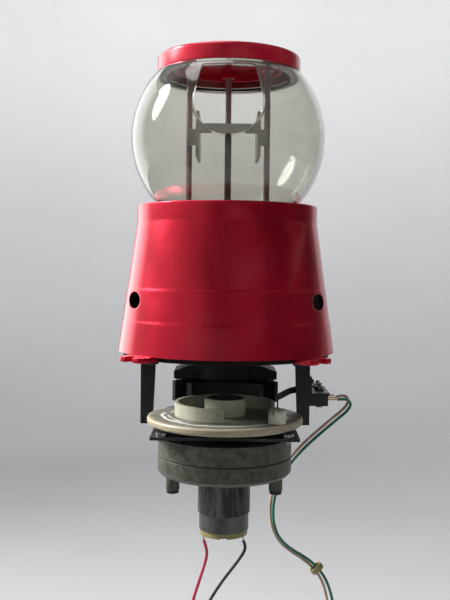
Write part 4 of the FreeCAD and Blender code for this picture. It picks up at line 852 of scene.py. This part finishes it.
def housingWalls():
    s, holes, rows = housingShape, sideHoles, housingRows
    bandRows = [band + step for band in s.bands for step in rows.bandSteps]
    collarRows = [s.collarBase + step for step in rows.collarSteps]
    levels = [np.linspace(s.base, rows.footTop, rows.foot), bandRows, np.linspace(*holes.gap, rows.hole),
              [s.exitTop], np.linspace(*rows.cone), collarRows, np.linspace(rows.topFrom, s.wallTop, rows.top)]
    z = np.unique(np.round(np.concatenate(levels), 4))
    exitRow, lowRow, highRow = np.searchsorted(z, np.array([s.exitTop, *holes.gap]) - rows.slack).tolist()
    above = z > rows.topFrom
    parts, loops, grids = [], {-1: [], 1: []}, []
    for inset in (0, s.wall):
        # the inner wall ends lower, under the lip
        top = s.wallTop if inset == 0 else s.lipBase - s.lipDrop
        heights = z.copy()
        heights[above] = np.linspace(rows.topFrom, top, above.sum() + 1)[1:]
        radius = wallRadius(heights) - inset
        turn = wallTurns(radius)
        grid = np.stack([radius[:, None] * np.cos(turn), radius[:, None] * np.sin(turn),
                         np.repeat(heights[:, None], s.columns, 1)], -1)
        gaps = [(0, exitRow, 0, s.exitColumns)]
        for side in (-1, 1):
            wanted = math.radians(270 + side * holes.placeDeg)
            middle = int(np.abs((turn[lowRow + rows.hole // 2] - wanted + np.pi) % (2 * np.pi) - np.pi).argmin())
            gap = (lowRow, highRow, middle - holes.gapHalf, middle + holes.gapHalf)
            row, col = gapLoop(*gap)
            loops[side].append(turnHeight(grid[row, col], wanted))
            gaps.append(gap)
        parts.append((grid.reshape(-1, 3), gridWithout(len(z), s.columns, gaps)))
        grids.append(grid)
    return parts, loops, grids, exitRow


def housingHole(side, outerLoop, innerLoop):
    s, wall = sideHoles, housingShape.wall
    wanted = math.radians(270 + side * s.placeDeg)
    away = outerLoop - [wanted, s.height]
    angle = np.arctan2(away[:, 1], away[:, 0] * wallRadius(s.height))
    turn = np.radians(np.linspace(0, 90, s.edgeSteps))
    lips = [(s.radius + s.edge * (1 - math.sin(t)), s.edge * (1 - math.cos(t))) for t in turn]
    rims = [turnHeight(drilledEdge(side, angle, lips[0][0], inset, 0), wanted) for inset in (0, wall)]
    rows = [*onWall(ringPatch(outerLoop, rims[0], s.patchRows), 0),
            *[drilledEdge(side, angle, drill, 0, depth) for drill, depth in lips[1:]],
            *[drilledEdge(side, angle, drill, wall, -depth) for drill, depth in lips[:0:-1]],
            *onWall(ringPatch(innerLoop, rims[1], s.patchRows), wall)[::-1]]
    return flatRing(np.stack(rows))


def tabSurface(turnDeg):
    # columns across the tab: each is a closed loop from the wall out to its reach, with two columns at a notch side
    s = tabShape
    cornerTurn = np.radians(np.linspace(s.cornerFromDeg, 90, s.cornerColumns))
    u = np.concatenate([np.linspace(s.notchHalf, s.half - s.corner, s.prongColumns),
                        s.half - s.corner * (1 - np.sin(cornerTurn))])
    notch = np.linspace(-1, 1, s.notchColumns)
    across = np.concatenate([-u[::-1], notch * s.notchHalf, u])
    prong = s.outside - s.corner * (1 - np.sqrt(np.clip(
        1 - (np.clip(u - s.half + s.corner, 0, None) / s.corner) ** 2, 0, 1)))
    dip = s.outside - s.notchDeep + s.notchHalf * (1 - np.sqrt(1 - notch ** 2))
    reach = np.concatenate([prong[::-1], dip, prong])
    loops = [rounded([(s.inside, 0, 0), (out, 0, s.edge), (out, s.thick, s.edge), (s.inside, s.thick, 0)], 4)
             for out in reach]
    grid = np.stack([np.column_stack([loop[:, 0], np.full(len(loop), at), loop[:, 1]])
                     for loop, at in zip(loops, across)])
    first, last = grid[:1], grid[-1:]
    grid = np.concatenate([first * 0 + first.mean(1, keepdims=True), grid, last * 0 + last.mean(1, keepdims=True)])
    turn = math.radians(turnDeg)
    spin = np.array([[math.cos(turn), math.sin(turn), 0], [-math.sin(turn), math.cos(turn), 0], [0, 0, 1]])
    return (grid @ spin).reshape(-1, 3), gridQuads(len(grid), grid.shape[1], False, True)


def housingSurface():
    s = housingShape
    walls, loops, (outer, inner), exitRow = housingWalls()
    edge, count = s.exitColumns, s.columns
    inTop, inRadius = s.lipBase, s.topRadius - s.wall
    lip = rounded([(s.topRadius, s.wallTop, 0), (s.topRadius, s.top, 0.7), (s.lipRadius, s.top, 0.4),
                   (s.lipRadius, inTop, 0.4), (inRadius, inTop, 0.4), (inRadius, inTop - s.lipDrop, 0)], 6)
    turn = wallTurns(np.array([s.topRadius, inRadius]))
    share = np.clip((s.topRadius - lip[:, 0]) / s.wall, 0, 1)[:, None]
    lipTurn = turn[:1] * (1 - share) + turn[1:] * share
    lipGrid = np.stack([lip[:, :1] * np.cos(lipTurn), lip[:, :1] * np.sin(lipTurn), lip[:, 1:] + 0 * lipTurn], -1)
    # the foot's edge goes round from one side of the exit to the other, and the jambs and head frame the exit
    foot = np.stack([outer[0], inner[0]])[:, np.arange(edge, count + 1) % count]
    jambs = [np.stack([grid[:exitRow + 1, col] for grid in (outer, inner)]) for col in (0, edge)]
    head = np.stack([grid[exitRow, :edge + 1] for grid in (outer, inner)])
    strips = [(strip.reshape(-1, 3), gridQuads(*strip.shape[:2])) for strip in (foot, *jambs, head)]
    boss = bossShape
    post = rounded([(0, boss.low, 0), (boss.radius, boss.low, 0.3), (boss.radius, boss.high, 0.3),
                    (0, boss.high, 0)], 3)
    posts = [spun(post, boss.segments, (boss.ring * math.cos(at), boss.ring * math.sin(at)), False)
             for at in np.radians(boss.turnsDeg)]
    holes = [housingHole(side, *loops[side]) for side in (-1, 1)]
    tabs = [tabSurface(turnDeg) for turnDeg in tabShape.turnsDeg]
    return joined(*walls, flatRing(lipGrid), *strips, *holes, *tabs, *posts)


# Inside of the housing and its side holes: painted shade, a dull near-black red on the faces deeper in and lower
# down than these margins
insideShadeLook = dict(tones=((0.020, 0.001, 0.002), (0.040, 0.002, 0.004)), rough=(0.6, 0.85), patch=90)
insideShadeMargins = values(wall=0.25, top=0.5)


def paintInsideShade(mesh):
    # faces inside the wall get the near-black red that paints the shade in the housing's hollow
    middles = np.empty((len(mesh.polygons), 3), np.float32)
    mesh.polygons.foreach_get("center", middles.ravel())
    reach, z = np.hypot(middles[:, 0], middles[:, 1]) / mm, middles[:, 2] / mm
    inside = (reach < wallRadius(z) - insideShadeMargins.wall) & (z < housingShape.top - insideShadeMargins.top)
    mesh.materials.append(finish("housingInsideShade", insideShadeLook))
    mesh.polygons.foreach_set("material_index", inside.astype(np.int32))


addPiece("lid_cap", "lid", lidSurface(), redGloss("lidRed", redLook.lidWaves, redLook.lidMetal))
addPiece("globe_shell", "globe", globeSurface(), smokedClear("globeClear"), limits.wallSharpDeg)
housing = addPiece("housing_shell", "housing", housingSurface(), redGloss("housingRed", redLook.housingWaves),
                   limits.wallSharpDeg)
paintInsideShade(housing.data)
print("lid, globe and housing made")

# Every other piece keeps its solid's shape: those in sight get broken edges, given here in millimetres
brokenEdges = dict(
    cage_bracket=0.2, ball_funnel=0.35, base_plate=0.25, base_screws=0.3, bearing_block=0.45, star_wheel=0.35,
    star_retainer=0.25, turret_shroud=0.3, ball_turret=0.5, turret_shaft=0.3, left_leg=0.2, right_leg=0.2,
    motor_plate=0.2, plate_screws=0.3, drive_disc=0.3, drive_pin=0.45, output_shaft=0.3, gearbox_cover=0.4,
    gearbox_case=0.4, case_screws=0.3, motor_can=0.35, flux_ring=0.15, motor_end_cap=0.3, brush_terminals=0.1,
    switch_body=0.3, switch_bracket=0.2, switch_screws=0.25, switch_terminals=0.1, switch_lever=0.08,
)
# Pieces that look unlike the rest of their slot
ownLooks = dict(
    front_rod=dict(tones=((0.035, 0.029, 0.020), (0.085, 0.070, 0.050)), metal=0.5, rough=(0.3, 0.5), patch=260,
                   stretch=(1, 1, 0.08)),
    cage_bracket=dict(tones=((0.31, 0.29, 0.25), (0.42, 0.395, 0.345)), metal=0.3, rough=(0.28, 0.40), patch=120,
                      stain=((0.20, 0.18, 0.14), 90, 0.4)),
    # the base plate is near-black and barely reflects: painted shadow under the housing's foot
    base_plate=dict(tones=((0.003, 0.003, 0.0025), (0.008, 0.008, 0.007)), rough=(0.55, 0.8), patch=140, ior=1.25),
)
ownFinish = {"drive_disc": rubbedIvory("discIvory"), "drive_pin": greasyPin("pinIvory"),
             "flux_ring": streakedSteel("fluxSteel"), "base_screws": slotFinish["black_steel"],
             "case_screws": slotFinish["black_steel"],
             "switch_plunger": redGloss("plungerRed", redLook.plungerWaves),
             **{node: finish(node + "Finish", look) for node, look in ownLooks.items()}}


def finishOf(node):
    return ownFinish.get(node) or slotFinish.get(slotOf[node])


# Cage rods: plain bars with broken ends, as long as the solids
rodShape = values(edge=0.25, edgeSteps=4, segments=40)


def rodSurface(node):
    low, high = np.array(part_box(node)) / mm
    s, radius, middle = rodShape, (high[0] - low[0]) / 2, (low + high) / 2
    ends = [(0, low[2], 0), (radius, low[2], s.edge), (radius, high[2], s.edge), (0, high[2], 0)]
    return spun(rounded(ends, s.edgeSteps), s.segments, middle[:2], False)


for node in ("left_rod", "right_rod", "front_rod", "back_rod"):
    addPiece(node + "_bar", node, rodSurface(node), finishOf(node))
for node, edge in brokenEdges.items():
    dressed(node, finishOf(node), edge)
# the solids take the same finishes, for those that stay in sight as they are
for node, solid in cadNodes.items():
    if finishOf(node):
        for holder in solid.material_slots:
            holder.material = finishOf(node)
print("pieces dressed:", len(brokenEdges))
